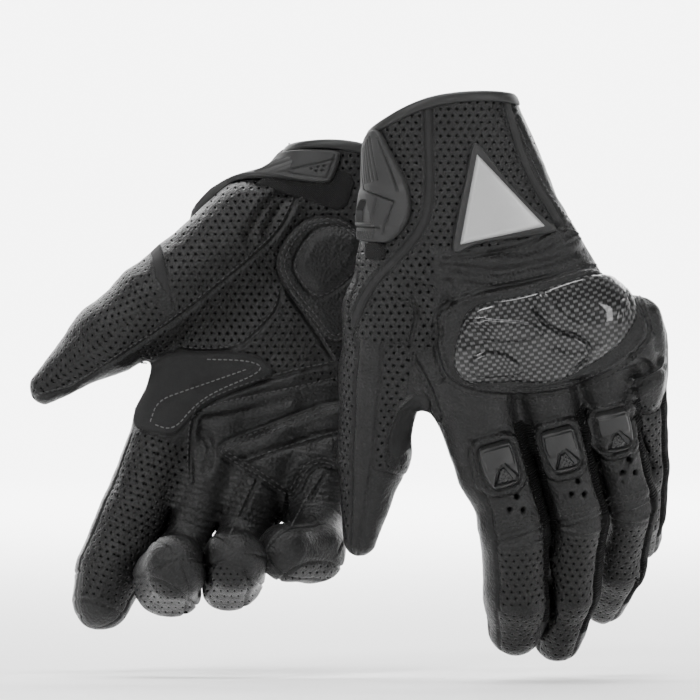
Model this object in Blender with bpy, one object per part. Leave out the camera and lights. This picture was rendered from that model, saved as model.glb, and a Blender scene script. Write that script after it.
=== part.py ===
"""A pair of short-cuff motorcycle riding gloves, as two hollow hands of separate sewn and moulded pieces.

The gloves are held up with the cuffs at the top and the fingers down. The left glove shows its back to the
front (-Y). The right glove stands behind it and shows its palm. The origin is the middle of the left cuff's
mouth, +X is to the right and +Z is up.
"""

import math

import bmesh
import bpy
from mathutils import Matrix, Vector

# Driving dimensions, in millimetres and degrees.
MM = 0.001
GAP = 0.3  # clearance between pieces that touch
SHELL_WALL = 2.0  # leather, foam and lining of the hand
FINGER_WALL = 1.6
FINGER_SIDES = 12
SHELL_STEPS = 12  # facets round half a hand
# How far a joint closes and opens from rest: knuckle and middle joint of a finger, root and joint of the thumb.
KNUCKLE_RANGE = (30.0, 8.0)
MIDDLE_RANGE = (35.0, 8.0)
CURLED_RANGE = (12.0, 8.0)  # of a middle joint that is already curled
CURLED_BEND = 40.0
THUMB_ROOT_RANGE = (10.0, 8.0)
THUMB_JOINT_RANGE = (24.0, 8.0)
THUMB_ROLL = 60.0  # a thumb closes across the palm, not straight towards it
PATCH_PITCH = 0.0625  # share of the hand's length between rows of a plate
PATCH_TURN = 10.0  # degrees between its columns
KNOTS = (0.2, 0.4, 0.6, 0.8)  # where the hand has a section
BAND_STEPS = 24
HAND_ROWS = 10  # twice the intervals between sections
SUPER = 2.4  # squareness of the hand's section, 2 is an ellipse

# A hand section: centre x, y, z, half width, half thickness, tilt of the width in the XZ plane.
LEFT_SECTIONS = (
    ((0, 0, 0), 33.0, 25.0, 11.0),
    ((6, -1, -37), 40.0, 24.0, 2.0),
    ((17, -1, -66), 46.0, 23.5, -2.0),
    ((38, -1, -80), 40.0, 23.0, -4.0),
    ((42, 0, -95), 46.0, 21.5, 6.0),
    ((45, 0, -108), 47.5, 19.0, 12.0),
)
RIGHT_SECTIONS = (
    ((-31, 95, -17), 33.0, 25.0, -16.0),
    ((-42, 96, -50), 40.0, 24.0, -18.0),
    ((-57, 96, -72), 48.0, 23.5, -16.0),
    ((-54, 96, -90), 40.0, 23.0, -12.0),
    ((-67, 95, -110), 46.0, 21.5, -6.0),
    ((-74, 95, -122), 46.5, 19.0, -1.0),
)

# A finger: knuckle x, y, z, then (length, heading, curl) of each bone, and half widths at its four points.
# Heading is measured in the XZ plane from -Z towards +X, and curl turns the bone towards the palm.
LEFT_FINGERS = {
    "index": ((16.5, 1, -119), ((53, 12, 12), (28, 3, 20), (19, -2, 30)), (10.2, 10.8, 10.4, 9.6)),
    "middle": ((39.5, 2, -114), ((53, 14, 14), (33, 1, 22), (26, -4, 32)), (9.9, 10.0, 9.7, 9.2)),
    "ring": ((62, 5, -108.5), ((53, 13, 17), (31, -2, 26), (23, -8, 38)), (9.6, 9.4, 9.2, 8.6)),
    "pinky": ((83.4, 9, -103), ((46, 10, 22), (26, 2, 32), (20, -3, 44)), (9.0, 8.8, 8.4, 7.8)),
    "thumb": ((-21, 8, -81), ((28, -3, 20), (33, -1, 12), (31, 0, 4)), (15.5, 15.5, 13.6, 9.6)),
}
RIGHT_FINGERS = {
    "index": ((-109, 94, -127), ((40, -26, 6), (23, -23, 9), (18, -19, 14)), (10.4, 11.4, 11.4, 10.8)),
    "middle": ((-86.5, 95, -130), ((53, -21, 8), (27, -24, 66), (20, -26, 108)), (10.0, 10.6, 10.8, 10.4)),
    "ring": ((-64.5, 94, -129), ((54, -17, 8), (27, -20, 66), (20, -24, 108)), (9.8, 10.4, 10.8, 10.4)),
    "pinky": ((-43, 93, -127), ((44, -13, 10), (22, -20, 62), (16, -24, 104)), (9.2, 9.8, 10.0, 9.6)),
    "thumb": ((-106, 86, -71), ((14, -55, 6), (24, -52, 5), (28.5, -53, 4)), (15.0, 15.6, 13.6, 9.0)),
}
FLATNESS = {"index": 1.04, "middle": 1.06, "ring": 1.08, "pinky": 1.05, "thumb": 1.0}

# Colours and finishes: base colour, roughness, metallic.
FINISHES = {
    "leather": ((0.030, 0.030, 0.032), 0.48, 0.0),
    "mesh_leather": ((0.034, 0.034, 0.036), 0.55, 0.0),
    "suede": ((0.020, 0.020, 0.021), 0.9, 0.0),
    "rubber": ((0.045, 0.045, 0.048), 0.5, 0.0),
    "carbon": ((0.02, 0.02, 0.022), 0.12, 0.0),
    "silver": ((0.55, 0.55, 0.56), 0.4, 0.3),
    "webbing": ((0.03, 0.03, 0.03), 0.85, 0.0),
    "touch": ((0.09, 0.09, 0.095), 0.45, 0.0),
}


def clear_scene():
    for obj in list(bpy.data.objects):
        bpy.data.objects.remove(obj)


def finish(name):
    """The shared material of that finish."""
    found = bpy.data.materials.get(name)
    if found:
        return found
    colour, roughness, metallic = FINISHES[name]
    made = bpy.data.materials.new(name)
    made.use_nodes = True
    shader = made.node_tree.nodes["Principled BSDF"]
    shader.inputs["Base Color"].default_value = (*colour, 1.0)
    shader.inputs["Roughness"].default_value = roughness
    shader.inputs["Metallic"].default_value = metallic
    return made


def add_solid(name, mesh_data, origin, material, parent=None):
    """A closed body from a bmesh in millimetres, with its origin at the given point."""
    bmesh.ops.recalc_face_normals(mesh_data, faces=mesh_data.faces[:])
    if mesh_data.calc_volume(signed=True) < 0:
        bmesh.ops.reverse_faces(mesh_data, faces=mesh_data.faces[:])
    mesh_data.transform(Matrix.Scale(MM, 4) @ Matrix.Translation(-Vector(origin)))
    mesh = bpy.data.meshes.new(name)
    mesh_data.to_mesh(mesh)
    mesh_data.free()
    mesh.materials.append(finish(material))
    mesh.shade_smooth()
    mesh.set_sharp_from_angle(angle=math.radians(40))
    obj = bpy.data.objects.new(name, mesh)
    bpy.context.scene.collection.objects.link(obj)
    obj.location = Vector(origin) * MM
    if parent:
        obj.parent = parent
        obj.location = Vector(origin) * MM - parent.location
    return obj


def add_pivot(name, point):
    """An empty on a joint's axis."""
    pivot = bpy.data.objects.new(name, None)
    pivot.location = Vector(point) * MM
    bpy.context.scene.collection.objects.link(pivot)
    return pivot


def lerp(a, b, t):
    return a + (b - a) * t


def superellipse(angle, half_width, half_depth):
    """A point of the hand's section, at that angle from its +width end."""
    c, s = math.cos(angle), math.sin(angle)
    scale = (abs(c) ** SUPER + abs(s) ** SUPER) ** (-1.0 / SUPER)
    return c * scale * half_width, s * scale * half_depth


class Hand:
    """One glove's sections as a surface: along 0..1 from cuff to knuckles, turn 0..180 over the back."""

    def __init__(self, sections, palm):
        self.palm = palm  # +1 where the palm faces +Y, -1 where it faces -Y
        self.sections = sections

    def station(self, along):
        """Centre, width direction, half width and half thickness at that share of the length."""
        place = min(max(along, 0.0), 1.0) * (len(self.sections) - 1)
        first = min(int(place), len(self.sections) - 2)
        t = place - first
        (c0, w0, d0, a0), (c1, w1, d1, a1) = self.sections[first : first + 2]
        tilt = math.radians(lerp(a0, a1, t))
        centre = Vector(c0).lerp(Vector(c1), t)
        return centre, Vector((math.cos(tilt), 0, math.sin(tilt))), lerp(w0, w1, t), lerp(d0, d1, t)

    def point(self, along, turn, lift):
        """A point lifted off the surface. Turn is in degrees: 90 is mid back, 270 is mid palm."""
        centre, across, half_width, half_depth = self.station(along)
        x, y = superellipse(math.radians(turn), half_width + lift, half_depth + lift)
        return centre + across * x + Vector((0, -self.palm * y, 0))


def grid_solid(rows, ring_closed=False):
    """A closed body swept through rows of points. Each row is a closed loop, and the first and last are capped."""
    made = bmesh.new()
    loops = [[made.verts.new(p) for p in row] for row in rows]
    count = len(rows[0])
    for near, far in zip(loops, loops[1:] + (loops[:1] if ring_closed else [])):
        for i in range(count):
            j = (i + 1) % count
            made.faces.new((near[i], near[j], far[j], far[i]))
    if not ring_closed:
        half = count // 2
        for loop in (loops[0], loops[-1]):
            for i in range(half - 1):
                made.faces.new((loop[i], loop[i + 1], loop[count - 2 - i], loop[count - 1 - i]))
    return made


def shell(hand, along_stops, turn_from, turn_to, low, high, steps):
    """A bowed wall between two lifts, over a range of turn, along those stops."""
    turns = [lerp(turn_from, turn_to, i / steps) for i in range(steps + 1)]
    rows = [
        [hand.point(a, t, high) for t in turns] + [hand.point(a, t, low) for t in reversed(turns)]
        for a in along_stops
    ]
    return grid_solid(rows)


def patch(hand, rows, low, high, crown=0.0):
    """A plate that follows the hand. Each row is (along, turn from, turn to), and crown lifts its middle."""
    stops = [rows[0][0]]
    while stops[-1] + PATCH_PITCH < rows[-1][0]:
        stops.append(stops[-1] + PATCH_PITCH)
    stops = sorted(set(stops + [row[0] for row in rows] + [k for k in KNOTS if rows[0][0] < k < rows[-1][0]]))
    stops = [s for i, s in enumerate(stops) if i == 0 or s - stops[i - 1] > 0.004]
    spread = max(row[2] - row[1] for row in rows)
    steps = max(2, math.ceil(spread / PATCH_TURN))
    made = []
    for along in stops:
        near = max((row for row in rows if row[0] <= along), key=lambda row: row[0])
        far = min((row for row in rows if row[0] >= along), key=lambda row: row[0])
        t = (along - near[0]) / (far[0] - near[0]) if far[0] > near[0] else 0.0
        start, end = lerp(near[1], far[1], t), lerp(near[2], far[2], t)
        turns = [lerp(start, end, i / steps) for i in range(steps + 1)]
        lengthwise = math.sin(math.pi * (along - rows[0][0]) / (rows[-1][0] - rows[0][0]))
        bow = [math.sin(math.pi * i / steps) * crown * lengthwise for i in range(steps + 1)]
        outer = [hand.point(along, t, high + c) for t, c in zip(turns, bow)]
        inner = [hand.point(along, t, low) for t in reversed(turns)]
        made.append(outer + inner)
    return grid_solid(made)


def band(hand, along_from, along_to, low, high):
    """A closed ring round the hand."""
    rows = []
    for i in range(BAND_STEPS):
        turn = 360.0 * i / BAND_STEPS
        rows.append([hand.point(along_from, turn, low), hand.point(along_from, turn, high),
                     hand.point(along_to, turn, high), hand.point(along_to, turn, low)])
    return grid_solid(rows, ring_closed=True)


def finger_plate(finger, bone, start, end, first_side, last_side, low, high):
    """A plate on a finger, over whole facets of its tube, between two shares of that bone."""
    rows = []
    for share in (start, lerp(start, end, 0.25), lerp(start, end, 0.75), end):
        a = finger.ring(bone, bone, finger.half_widths[bone])
        b = finger.ring(bone + 1, bone, finger.half_widths[bone + 1])
        centre = finger.points[bone].lerp(finger.points[bone + 1], share)
        skin = [p.lerp(q, share) for p, q in zip(a, b)]
        sides = range(first_side, last_side + 1)
        outer = [skin[i % FINGER_SIDES] + (skin[i % FINGER_SIDES] - centre).normalized() * high for i in sides]
        inner = [skin[i % FINGER_SIDES] + (skin[i % FINGER_SIDES] - centre).normalized() * low for i in sides]
        rows.append(outer + inner[::-1])
    return grid_solid(rows)


class Finger:
    """One finger's points, bones and hinges."""

    def __init__(self, name, spec, palm):
        knuckle, bones, self.half_widths = spec
        self.palm = palm
        self.flatness = FLATNESS[name]
        self.is_thumb = name == "thumb"
        self.headings = [math.radians(bone[1]) for bone in bones]
        self.curls = [math.radians(bone[2]) for bone in bones]
        self.points = [Vector(knuckle)]
        for index, bone in enumerate(bones):
            self.points.append(self.points[-1] + self.direction(index) * bone[0])
        self.second = 2 if self.is_thumb else 1  # the point that the second hinge passes through

    def direction(self, bone):
        h, c = self.headings[bone], self.curls[bone]
        return Vector((math.sin(h) * math.cos(c), self.palm * math.sin(c), -math.cos(h) * math.cos(c)))

    def across(self, bone):
        return Vector((math.cos(self.headings[bone]), 0, math.sin(self.headings[bone])))

    def palmar(self, bone):
        h, c = self.headings[bone], self.curls[bone]
        return Vector((-math.sin(h) * math.sin(c), self.palm * math.cos(c), math.cos(h) * math.sin(c)))

    def closing(self, bone):
        """The way that bone moves as its joint closes."""
        roll = math.radians(THUMB_ROLL if self.is_thumb else 0.0)
        return self.palmar(bone) * math.cos(roll) + self.across(bone) * math.sin(roll)

    def hinge(self, bone):
        """The axis about which a positive turn closes that bone."""
        return self.direction(bone).cross(self.closing(bone)).normalized()

    def joint_range(self):
        if self.is_thumb:
            return THUMB_JOINT_RANGE
        bend = math.degrees(self.direction(0).angle(self.direction(1)))
        return CURLED_RANGE if bend > CURLED_BEND else MIDDLE_RANGE

    def ring(self, point, bone, half_width, wall=0.0, slide=0.0):
        """A ring round the finger at that point, in the frame of that bone, moved along it by slide."""
        made = []
        for i in range(FINGER_SIDES):
            angle = math.tau * i / FINGER_SIDES
            a = math.cos(angle) * (half_width - wall)
            p = math.sin(angle) * (half_width * self.flatness - wall)
            offset = self.across(bone) * a + self.palmar(bone) * p
            made.append(self.points[point] + offset + self.direction(bone) * slide)
        return made

    def trimmed(self, point, bone, half_width, wall, away, limits):
        """The ring at a hinge, cut back on both sides of the axis so that the joint can close and open."""
        flex, extend = (math.radians(value) for value in limits)
        normal = self.direction(bone)
        share = 1.0
        if point:
            normal = (self.direction(point - 1) + self.direction(point)).normalized()
            share = 0.5
        slope = self.direction(bone).dot(normal)
        inward = self.hinge(point).cross(normal)
        made = []
        for corner in self.ring(point, bone, half_width, wall):
            offset = corner - self.points[point]
            offset -= self.direction(bone) * (offset.dot(normal) / slope)
            reach = offset.dot(inward)
            notch = GAP + abs(reach) * math.tan(share * (flex if reach > 0 else extend))
            made.append(self.points[point] + offset + self.direction(bone) * (notch * away / slope))
        return made

    def tube(self, first, last, limits):
        """The hollow bones between two hinges, open at both ends."""
        def rows(wall):
            made = [self.trimmed(first, first, self.half_widths[first], wall, 1, limits[0])]
            for point in range(first + 1, last):
                made.append(self.ring(point, point, self.half_widths[point], wall))
            middle = [a.lerp(b, 0.5) for a, b in zip(
                self.ring(last - 1, last - 1, self.half_widths[last - 1], wall),
                self.ring(last, last - 1, self.half_widths[last], wall))]
            made.append(middle)
            made.append(self.trimmed(last, last - 1, self.half_widths[last], wall, -1, limits[1]))
            return made

        return hollow(rows(0.0), rows(FINGER_WALL))

    def thimble(self, first, limits):
        """The hollow fingertip beyond the second hinge, open only at that hinge."""
        last = len(self.points) - 1
        tip = self.half_widths[last]

        def rows(wall):
            made = [self.trimmed(first, first, self.half_widths[first], wall, 1, limits)]
            for point in range(first + 1, last):
                made.append(self.ring(point, point, self.half_widths[point], wall))
            made.append(self.ring(last, last - 1, tip, wall))
            for step in (30, 60, 80):
                turn = math.radians(step)
                made.append(self.ring(last, last - 1, (tip - wall) * math.cos(turn), 0.0,
                                      (tip - wall) * math.sin(turn)))
            return made

        return hollow(rows(0.0), rows(FINGER_WALL), capped=True)


def hollow(outer, inner, capped=False):
    """A tube from rings outside and inside. With capped, both surfaces close at the last ring."""
    made = bmesh.new()
    count = len(outer[0])
    skins = []
    for rows in (outer, inner):
        loops = [[made.verts.new(p) for p in row] for row in rows]
        for near, far in zip(loops, loops[1:]):
            for i in range(count):
                j = (i + 1) % count
                made.faces.new((near[i], near[j], far[j], far[i]))
        skins.append(loops)
    for i in range(count):
        j = (i + 1) % count
        made.faces.new((skins[0][0][i], skins[0][0][j], skins[1][0][j], skins[1][0][i]))
        if not capped:
            made.faces.new((skins[0][-1][i], skins[0][-1][j], skins[1][-1][j], skins[1][-1][i]))
    if capped:
        made.faces.new(skins[0][-1])
        made.faces.new(skins[1][-1])
    return made


# Lifts off the hand's surface, in millimetres: where each layer starts and ends.
REST = 0.6
PAD_TOP = 2.4
LOOP_TOP = 1.8
HOOK = (2.2, 3.2)
TAB = (3.6, 5.6)
BASE_TOP = 4.2
BADGE_BASE_TOP = 2.2
BADGE_TOP = 3.4
BINDING_TOP = 1.9
# Plates of the hand: (along, turn from, turn to) rows, with turn 90 at mid back and 270 at mid palm.
GUARD_ROWS = ((0.42, 34, 78), (0.49, 25, 118), (0.60, 24, 137), (0.80, 34, 138), (0.94, 46, 134), (0.985, 60, 118))
BADGE_BASE_ROWS = ((0.05, 62, 76), (0.27, 46, 103), (0.30, 50, 100))
BADGE_ROWS = ((0.075, 66, 72), (0.255, 52, 98), (0.28, 55, 95))
STRAP_BASE_ROWS = ((0.05, 124, 172), (0.24, 128, 174), (0.33, 136, 170))
PULL_LOOP_ROWS = ((0.35, 142, 160), (0.39, 144, 158))
LOOP_PATCH_ROWS = ((0.05, 236, 325), (0.19, 236, 325))
TAB_ROWS = ((0.055, 184, 300), (0.075, 184, 308), (0.155, 184, 308), (0.175, 184, 300))
HOOK_ROWS = ((0.075, 242, 300), (0.155, 242, 300))
HEEL_PAD_ROWS = ((0.215, 252, 280), (0.34, 236, 290), (0.50, 240, 284))
PALM_PAD_ROWS = ((0.66, 246, 330), (0.80, 242, 338), (0.92, 250, 334))
CROTCH_ROWS = ((0.64, 194, 232), (0.80, 190, 236), (0.92, 194, 242))
PALM_END = 0.94  # the palm stops short of the knuckles, where the fingers fold
SEAM_TURN = 0.5
STRAP_HINGE = (0.115, 182.0, 4.6)  # along, turn and lift of the point that the strap swings about
ARMOUR = {"index": (0.52, 0.86), "middle": (0.50, 0.84), "ring": (0.48, 0.84)}
ARMOUR_SIDES = (8, 10)  # facets of the finger's tube over its back
TOUCH_SIDES = (4, 6)  # facets over its thumb side
FINGERS = ("index", "middle", "ring", "pinky", "thumb")


def hand_parts(side, hand, strap_point):
    """The shells, the binding, the guard, the badge, the pads and the strap of one glove."""
    origin = hand.station(0.0)[0]
    stops = [i / HAND_ROWS for i in range(HAND_ROWS + 1)]
    palm_stops = stops[:-1] + [PALM_END]
    back = shell(hand, stops, SEAM_TURN, 180 - SEAM_TURN, -SHELL_WALL, 0.0, SHELL_STEPS)
    palm = shell(hand, palm_stops, 180 + SEAM_TURN, 360 - SEAM_TURN, -SHELL_WALL, 0.0, SHELL_STEPS)
    add_solid(f"{side}_back_shell", back, origin, "mesh_leather")
    add_solid(f"{side}_palm_shell", palm, origin, "leather")
    add_solid(f"{side}_cuff_binding", band(hand, 0.0, 0.04, REST, BINDING_TOP), origin, "leather")
    plates = (
        ("knuckle_guard", GUARD_ROWS, REST, 3.4, 3.0, "carbon"),
        ("badge_base", BADGE_BASE_ROWS, REST, BADGE_BASE_TOP, 0.0, "rubber"),
        ("badge_plate", BADGE_ROWS, BADGE_BASE_TOP + GAP, BADGE_TOP, 0.0, "silver"),
        ("strap_base", STRAP_BASE_ROWS, REST, BASE_TOP, 0.0, "rubber"),
        ("pull_loop", PULL_LOOP_ROWS, REST, 3.2, 0.0, "webbing"),
        ("loop_patch", LOOP_PATCH_ROWS, REST, LOOP_TOP, 0.0, "webbing"),
        ("heel_pad", HEEL_PAD_ROWS, REST, PAD_TOP, 1.6, "leather"),
        ("palm_pad", PALM_PAD_ROWS, REST, PAD_TOP, 1.6, "leather"),
        ("crotch_patch", CROTCH_ROWS, REST, PAD_TOP, 0.0, "suede"),
    )
    for name, rows, low, high, crown, finish_name in plates:
        add_solid(f"{side}_{name}", patch(hand, rows, low, high, crown), origin, finish_name)
    add_solid(f"{side}_strap_tab", patch(hand, TAB_ROWS, *TAB), strap_point, "rubber")
    add_solid(f"{side}_strap_hook_patch", patch(hand, HOOK_ROWS, *HOOK), strap_point, "webbing")


def finger_parts(side, finger, name):
    """The two hollow sections of one finger, with what is sewn onto them."""
    root, joint = finger.points[0], finger.points[finger.second]
    root_range = THUMB_ROOT_RANGE if finger.is_thumb else KNUCKLE_RANGE
    joint_range = finger.joint_range()
    label = ("base", "tip") if finger.is_thumb else ("proximal", "tip")
    base = finger.tube(0, finger.second, (root_range, joint_range))
    add_solid(f"{side}_{name}_{label[0]}", base, root, "mesh_leather")
    tip = finger.thimble(finger.second, joint_range)
    add_solid(f"{side}_{name}_{label[1]}", tip, joint, "leather" if finger.is_thumb else "mesh_leather")
    if name in ARMOUR:
        plate = finger_plate(finger, 0, *ARMOUR[name], *ARMOUR_SIDES, REST, 3.2)
        add_solid(f"{side}_{name}_armour", plate, root, "rubber")
    if name == "index":
        plate = finger_plate(finger, 2, 0.08, 0.9, *TOUCH_SIDES, REST, 1.4)
        add_solid(f"{side}_index_touch_patch", plate, joint, "touch")


def make_glove(side, sections, fingers, palm):
    hand = Hand(sections, palm)
    hand_parts(side, hand, hand.point(*STRAP_HINGE))
    for name in FINGERS:
        finger_parts(side, Finger(name, fingers[name], palm), name)


clear_scene()
make_glove("left", LEFT_SECTIONS, LEFT_FINGERS, 1)
make_glove("right", RIGHT_SECTIONS, RIGHT_FINGERS, -1)
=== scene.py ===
import math

import bmesh
import bpy
import numpy as np
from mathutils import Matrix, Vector
from mathutils.bvhtree import BVHTree


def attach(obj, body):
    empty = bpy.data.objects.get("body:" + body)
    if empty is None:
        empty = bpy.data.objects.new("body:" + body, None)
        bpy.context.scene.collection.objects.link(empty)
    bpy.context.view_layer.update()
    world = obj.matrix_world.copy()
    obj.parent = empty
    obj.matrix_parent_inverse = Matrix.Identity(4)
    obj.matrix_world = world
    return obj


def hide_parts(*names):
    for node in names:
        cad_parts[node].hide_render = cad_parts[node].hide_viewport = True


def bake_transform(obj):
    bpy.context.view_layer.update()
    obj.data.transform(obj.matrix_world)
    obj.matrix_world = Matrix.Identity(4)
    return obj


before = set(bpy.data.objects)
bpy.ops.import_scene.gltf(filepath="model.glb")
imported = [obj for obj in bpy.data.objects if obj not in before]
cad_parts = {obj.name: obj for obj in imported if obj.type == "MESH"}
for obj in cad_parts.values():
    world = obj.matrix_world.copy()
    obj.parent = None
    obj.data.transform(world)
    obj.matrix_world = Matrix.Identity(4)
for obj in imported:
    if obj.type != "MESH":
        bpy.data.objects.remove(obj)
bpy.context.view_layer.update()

# The looks of a pair of riding gloves. Everything is worked out in millimetres and made in metres.
# Each glove is one smooth leather skin, from a field of distances to a hand and its fingers, that is then
# embossed, cut into the pieces that move, and dressed with its guard, plates, strap, piping and stitches.

MM = 0.001
STEP = 1.25  # pitch of the field's grid
SUPER = 2.4  # squareness of the hand's section, where 2 is an ellipse

# Hand sections: centre x, y, z, half width, half thickness, and tilt of the width in the XZ plane.
HANDS = {
    "left": (
        ((0, 0, 0), 32.5, 24.0, 11.0),
        ((9, -1, -37), 41.0, 23.5, 2.0),
        ((19, -1, -64), 50.0, 22.5, -3.0),
        ((34, -1, -80), 47.5, 21.5, -3.0),
        ((43, 0, -95), 47.5, 20.0, 6.0),
        ((46, 0, -108), 47.0, 17.0, 12.0),
    ),
    "right": (
        ((-31, 95, -17), 32.5, 24.0, -16.0),
        ((-42, 96, -50), 40.0, 23.0, -18.0),
        ((-57, 96, -72), 47.0, 22.0, -16.0),
        ((-62, 96, -90), 46.0, 21.5, -12.0),
        ((-69, 95, -110), 46.5, 20.0, -6.0),
        ((-75, 95, -122), 46.0, 17.0, -1.0),
    ),
}
# Fingers: knuckle, then (length, heading, curl) of each bone, and the half widths at the four points.
FINGERS = {
    "left": {
        "index": ((17.5, 1, -119), ((53, 14.5, 12), (28, 3.5, 22), (17, -4, 34)), (13.0, 14.6, 14.2, 11.4)),
        "middle": ((42.5, 2, -114), ((53, 14.5, 14), (33, -5, 24), (25, -12, 34)), (12.0, 12.8, 12.2, 9.9)),
        "ring": ((65, 6, -108.5), ((54, 13, 20), (32, -6, 34), (24, -22, 46)), (11.6, 11.6, 10.8, 9.3)),
        "pinky": ((81, 12, -105), ((46, 3, 32), (26, 0, 42), (19, -2, 54)), (10.5, 10.0, 9.5, 8.6)),
        "thumb": ((-22, 8, -81), ((28, -4, 20), (33, -5, 12), (35, -9, 4)), (16.5, 16.5, 14.5, 6.8)),
    },
    "right": {
        "index": ((-111, 94, -127), ((40, -19.6, 6), (26, -23, 9), (12.5, -18, 14)), (13.3, 14.4, 14.2, 12.4)),
        "middle": ((-86.5, 95, -130), ((55, -20, 8), (27, -24, 66), (20, -26, 108)), (11.6, 12.4, 14.6, 13.8)),
        "ring": ((-64.5, 94, -129), ((53, -19, 8), (27, -21, 66), (20, -24, 108)), (12.4, 13.0, 14.1, 13.4)),
        "pinky": ((-43, 93, -127), ((41, -10, 10), (22, -4, 55), (18, -90, 50)), (12.0, 12.8, 12.9, 12.1)),
        "thumb": ((-106, 86, -70), ((14, -55, 6), (24, -52, 5), (32, -51, 4)), (16.8, 16.6, 14.6, 7.0)),
    },
}
# Where the skin is filled out between the thumb and the forefinger: two ends with their radii.
WEBS = {
    "left": (((4, 4, -96), 9.0, (-3, 6, -112), 8.5), ((5, 3, -108), 11.0, (18, 5, -147), 10.8)),
    "right": (),
}
PALM = {"left": 1.0, "right": -1.0}  # the side of Y that the palm faces
NAMES = ("index", "middle", "ring", "pinky", "thumb")
FOUR = NAMES[:4]
WEB_REACH = {"left": 17.0, "right": 30.0}  # how far beyond the knuckles the fingers part
WEB_RADIUS = 8.0
PARTING = 0.68  # half the least gap between two fingers
PARTING_SWAY = 2.0  # how far the gap winds, so that nothing is seen through it
CUFF_DROP = (9.0, 5.0)  # how far the cuff's mouth comes down at the thumb's side and at the other, in mm
CUFF_RISE = 3.6  # how far its middle stands above the first section, in mm
CUFF_EASE = 32.0  # mm over which the skin below takes that up
WRIST_RISE = 14.0  # how far the field runs on above the cuff's mouth, to be cut off there


def smooth(x):
    x = np.clip(x, 0.0, 1.0)
    return x * x * (3 - 2 * x)


def soft_min(a, b, k):
    h = np.clip(0.5 + 0.5 * (b - a) / k, 0.0, 1.0)
    return b + (a - b) * h - k * h * (1 - h)


def soft_max(a, b, k):
    return -soft_min(-a, -b, k)


class Glove:
    """The hand's sections and the fingers' bones of one glove, with the coordinates that its details are drawn in."""

    def __init__(self, side):
        self.side = side
        self.palm = PALM[side]
        self.sections = HANDS[side]
        self.centres = np.array([s[0] for s in self.sections], float)
        self.widths = np.array([s[1] for s in self.sections], float)
        self.depths = np.array([s[2] for s in self.sections], float)
        self.tilts = np.radians([s[3] for s in self.sections])
        self.fingers = {name: Finger(name, spec, self.palm) for name, spec in FINGERS[side].items()}

    def at(self, along):
        """Centre, width direction, downward direction, half width and half thickness at a share of the length."""
        place = np.clip(along, 0.0, 1.0) * (len(self.sections) - 1)
        grid = np.arange(len(self.sections))
        centre = np.stack([np.interp(place, grid, self.centres[:, i]) for i in range(3)], -1)
        tilt = np.interp(place, grid, self.tilts)
        zero = np.zeros_like(tilt)
        across = np.stack([np.cos(tilt), zero, np.sin(tilt)], -1)
        down = np.stack([np.sin(tilt), zero, -np.cos(tilt)], -1)
        return centre, across, down, np.interp(place, grid, self.widths), np.interp(place, grid, self.depths)

    def locate(self, points):
        """For each point: share of the length, what it is beyond that end, across and towards the back, in mm."""
        along = np.full(len(points), 0.5)
        total = 125.0
        for _ in range(14):
            centre, _, down, _, _ = self.at(along)
            along = np.clip(along + np.sum((points - centre) * down, -1) / total, 0.0, 1.0)
        centre, across, down, width, depth = self.at(along)
        offset = points - centre
        beyond = np.sum(offset * down, -1)
        return along, beyond, np.sum(offset * across, -1), -self.palm * offset[:, 1], width, depth

    def place(self, along, beyond, across_share):
        """The X and Z of a hand coordinate in this glove's plane."""
        centre, across, down, width, _ = self.at(along)
        p = centre + across * (across_share * width)[:, None] + down * beyond[:, None]
        return p[:, [0, 2]]

    def hand_field(self, points):
        _, beyond, x, y, width, depth = self.locate(points)
        ax, ay = np.abs(x) / width, np.abs(y) / depth
        r = (ax**SUPER + ay**SUPER) ** (1 / SUPER) + 1e-6
        slope = np.hypot((ax / r) ** (SUPER - 1) / width, (ay / r) ** (SUPER - 1) / depth)
        side = (r - 1) / np.maximum(slope, 1 / (depth * 1.6))
        return soft_max(side, beyond - 2.0, 10.0), beyond

    def field(self, points):
        """Distance to the glove's outside, and the nearest finger of each point."""
        hand, beyond = self.hand_field(points)
        chains = np.stack([self.fingers[n].field(points) for n in NAMES])
        near = np.min(chains[:4], 0)
        reach = WEB_REACH[self.side]
        slant = PARTING_SWAY * np.sin((points[:, 1] - self.centres[2][1]) / 3.4)
        apart = np.min([np.abs(chains[i + 1] - chains[i] + slant) + 4.0 * (np.minimum(chains[i], chains[i + 1]) > near)
                        for i in range(3)], 0)
        run = np.min([(points - self.fingers[n].points[0]) @ self.fingers[n].direction(0) for n in FOUR], 0)
        parting = PARTING - apart / 2 - np.clip(reach + 4.0 - run, 0.0, 40.0) * 0.7
        four = np.maximum(near, parting)
        for one, other in zip(FOUR, FOUR[1:]):
            a, b = self.fingers[one], self.fingers[other]
            tops = (a.points[0] + b.points[0]) / 2
            ends = (a.points[0] + a.direction(0) * reach + b.points[0] + b.direction(0) * reach) / 2
            shift = np.array([0.0, self.palm * 2.5, 0.0])
            four = soft_min(four, cone(points, tops + shift, ends + shift, WEB_RADIUS, WEB_RADIUS - 1.5), 2.5)
        glove = soft_min(hand, four, 7.0)
        for a, ra, b, rb in WEBS[self.side]:
            glove = soft_min(glove, cone(points, a, b, ra, rb), 7.0)
        return soft_min(glove, chains[4], 13.0), chains, beyond


def cuff_drop(share):
    """How far the cuff's mouth comes down at a share of the half width, negative on the thumb's side."""
    share = np.clip(share, -1.0, 1.0)
    return share**2 * np.where(share < 0, *CUFF_DROP) - CUFF_RISE


def cone(points, a, b, ra, rb):
    a, b = np.array(a, float), np.array(b, float)
    ab = b - a
    t = np.clip(((points - a) @ ab) / (ab @ ab), 0.0, 1.0)
    return np.linalg.norm(points - a - t[:, None] * ab, axis=1) - (ra + (rb - ra) * t)


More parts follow.
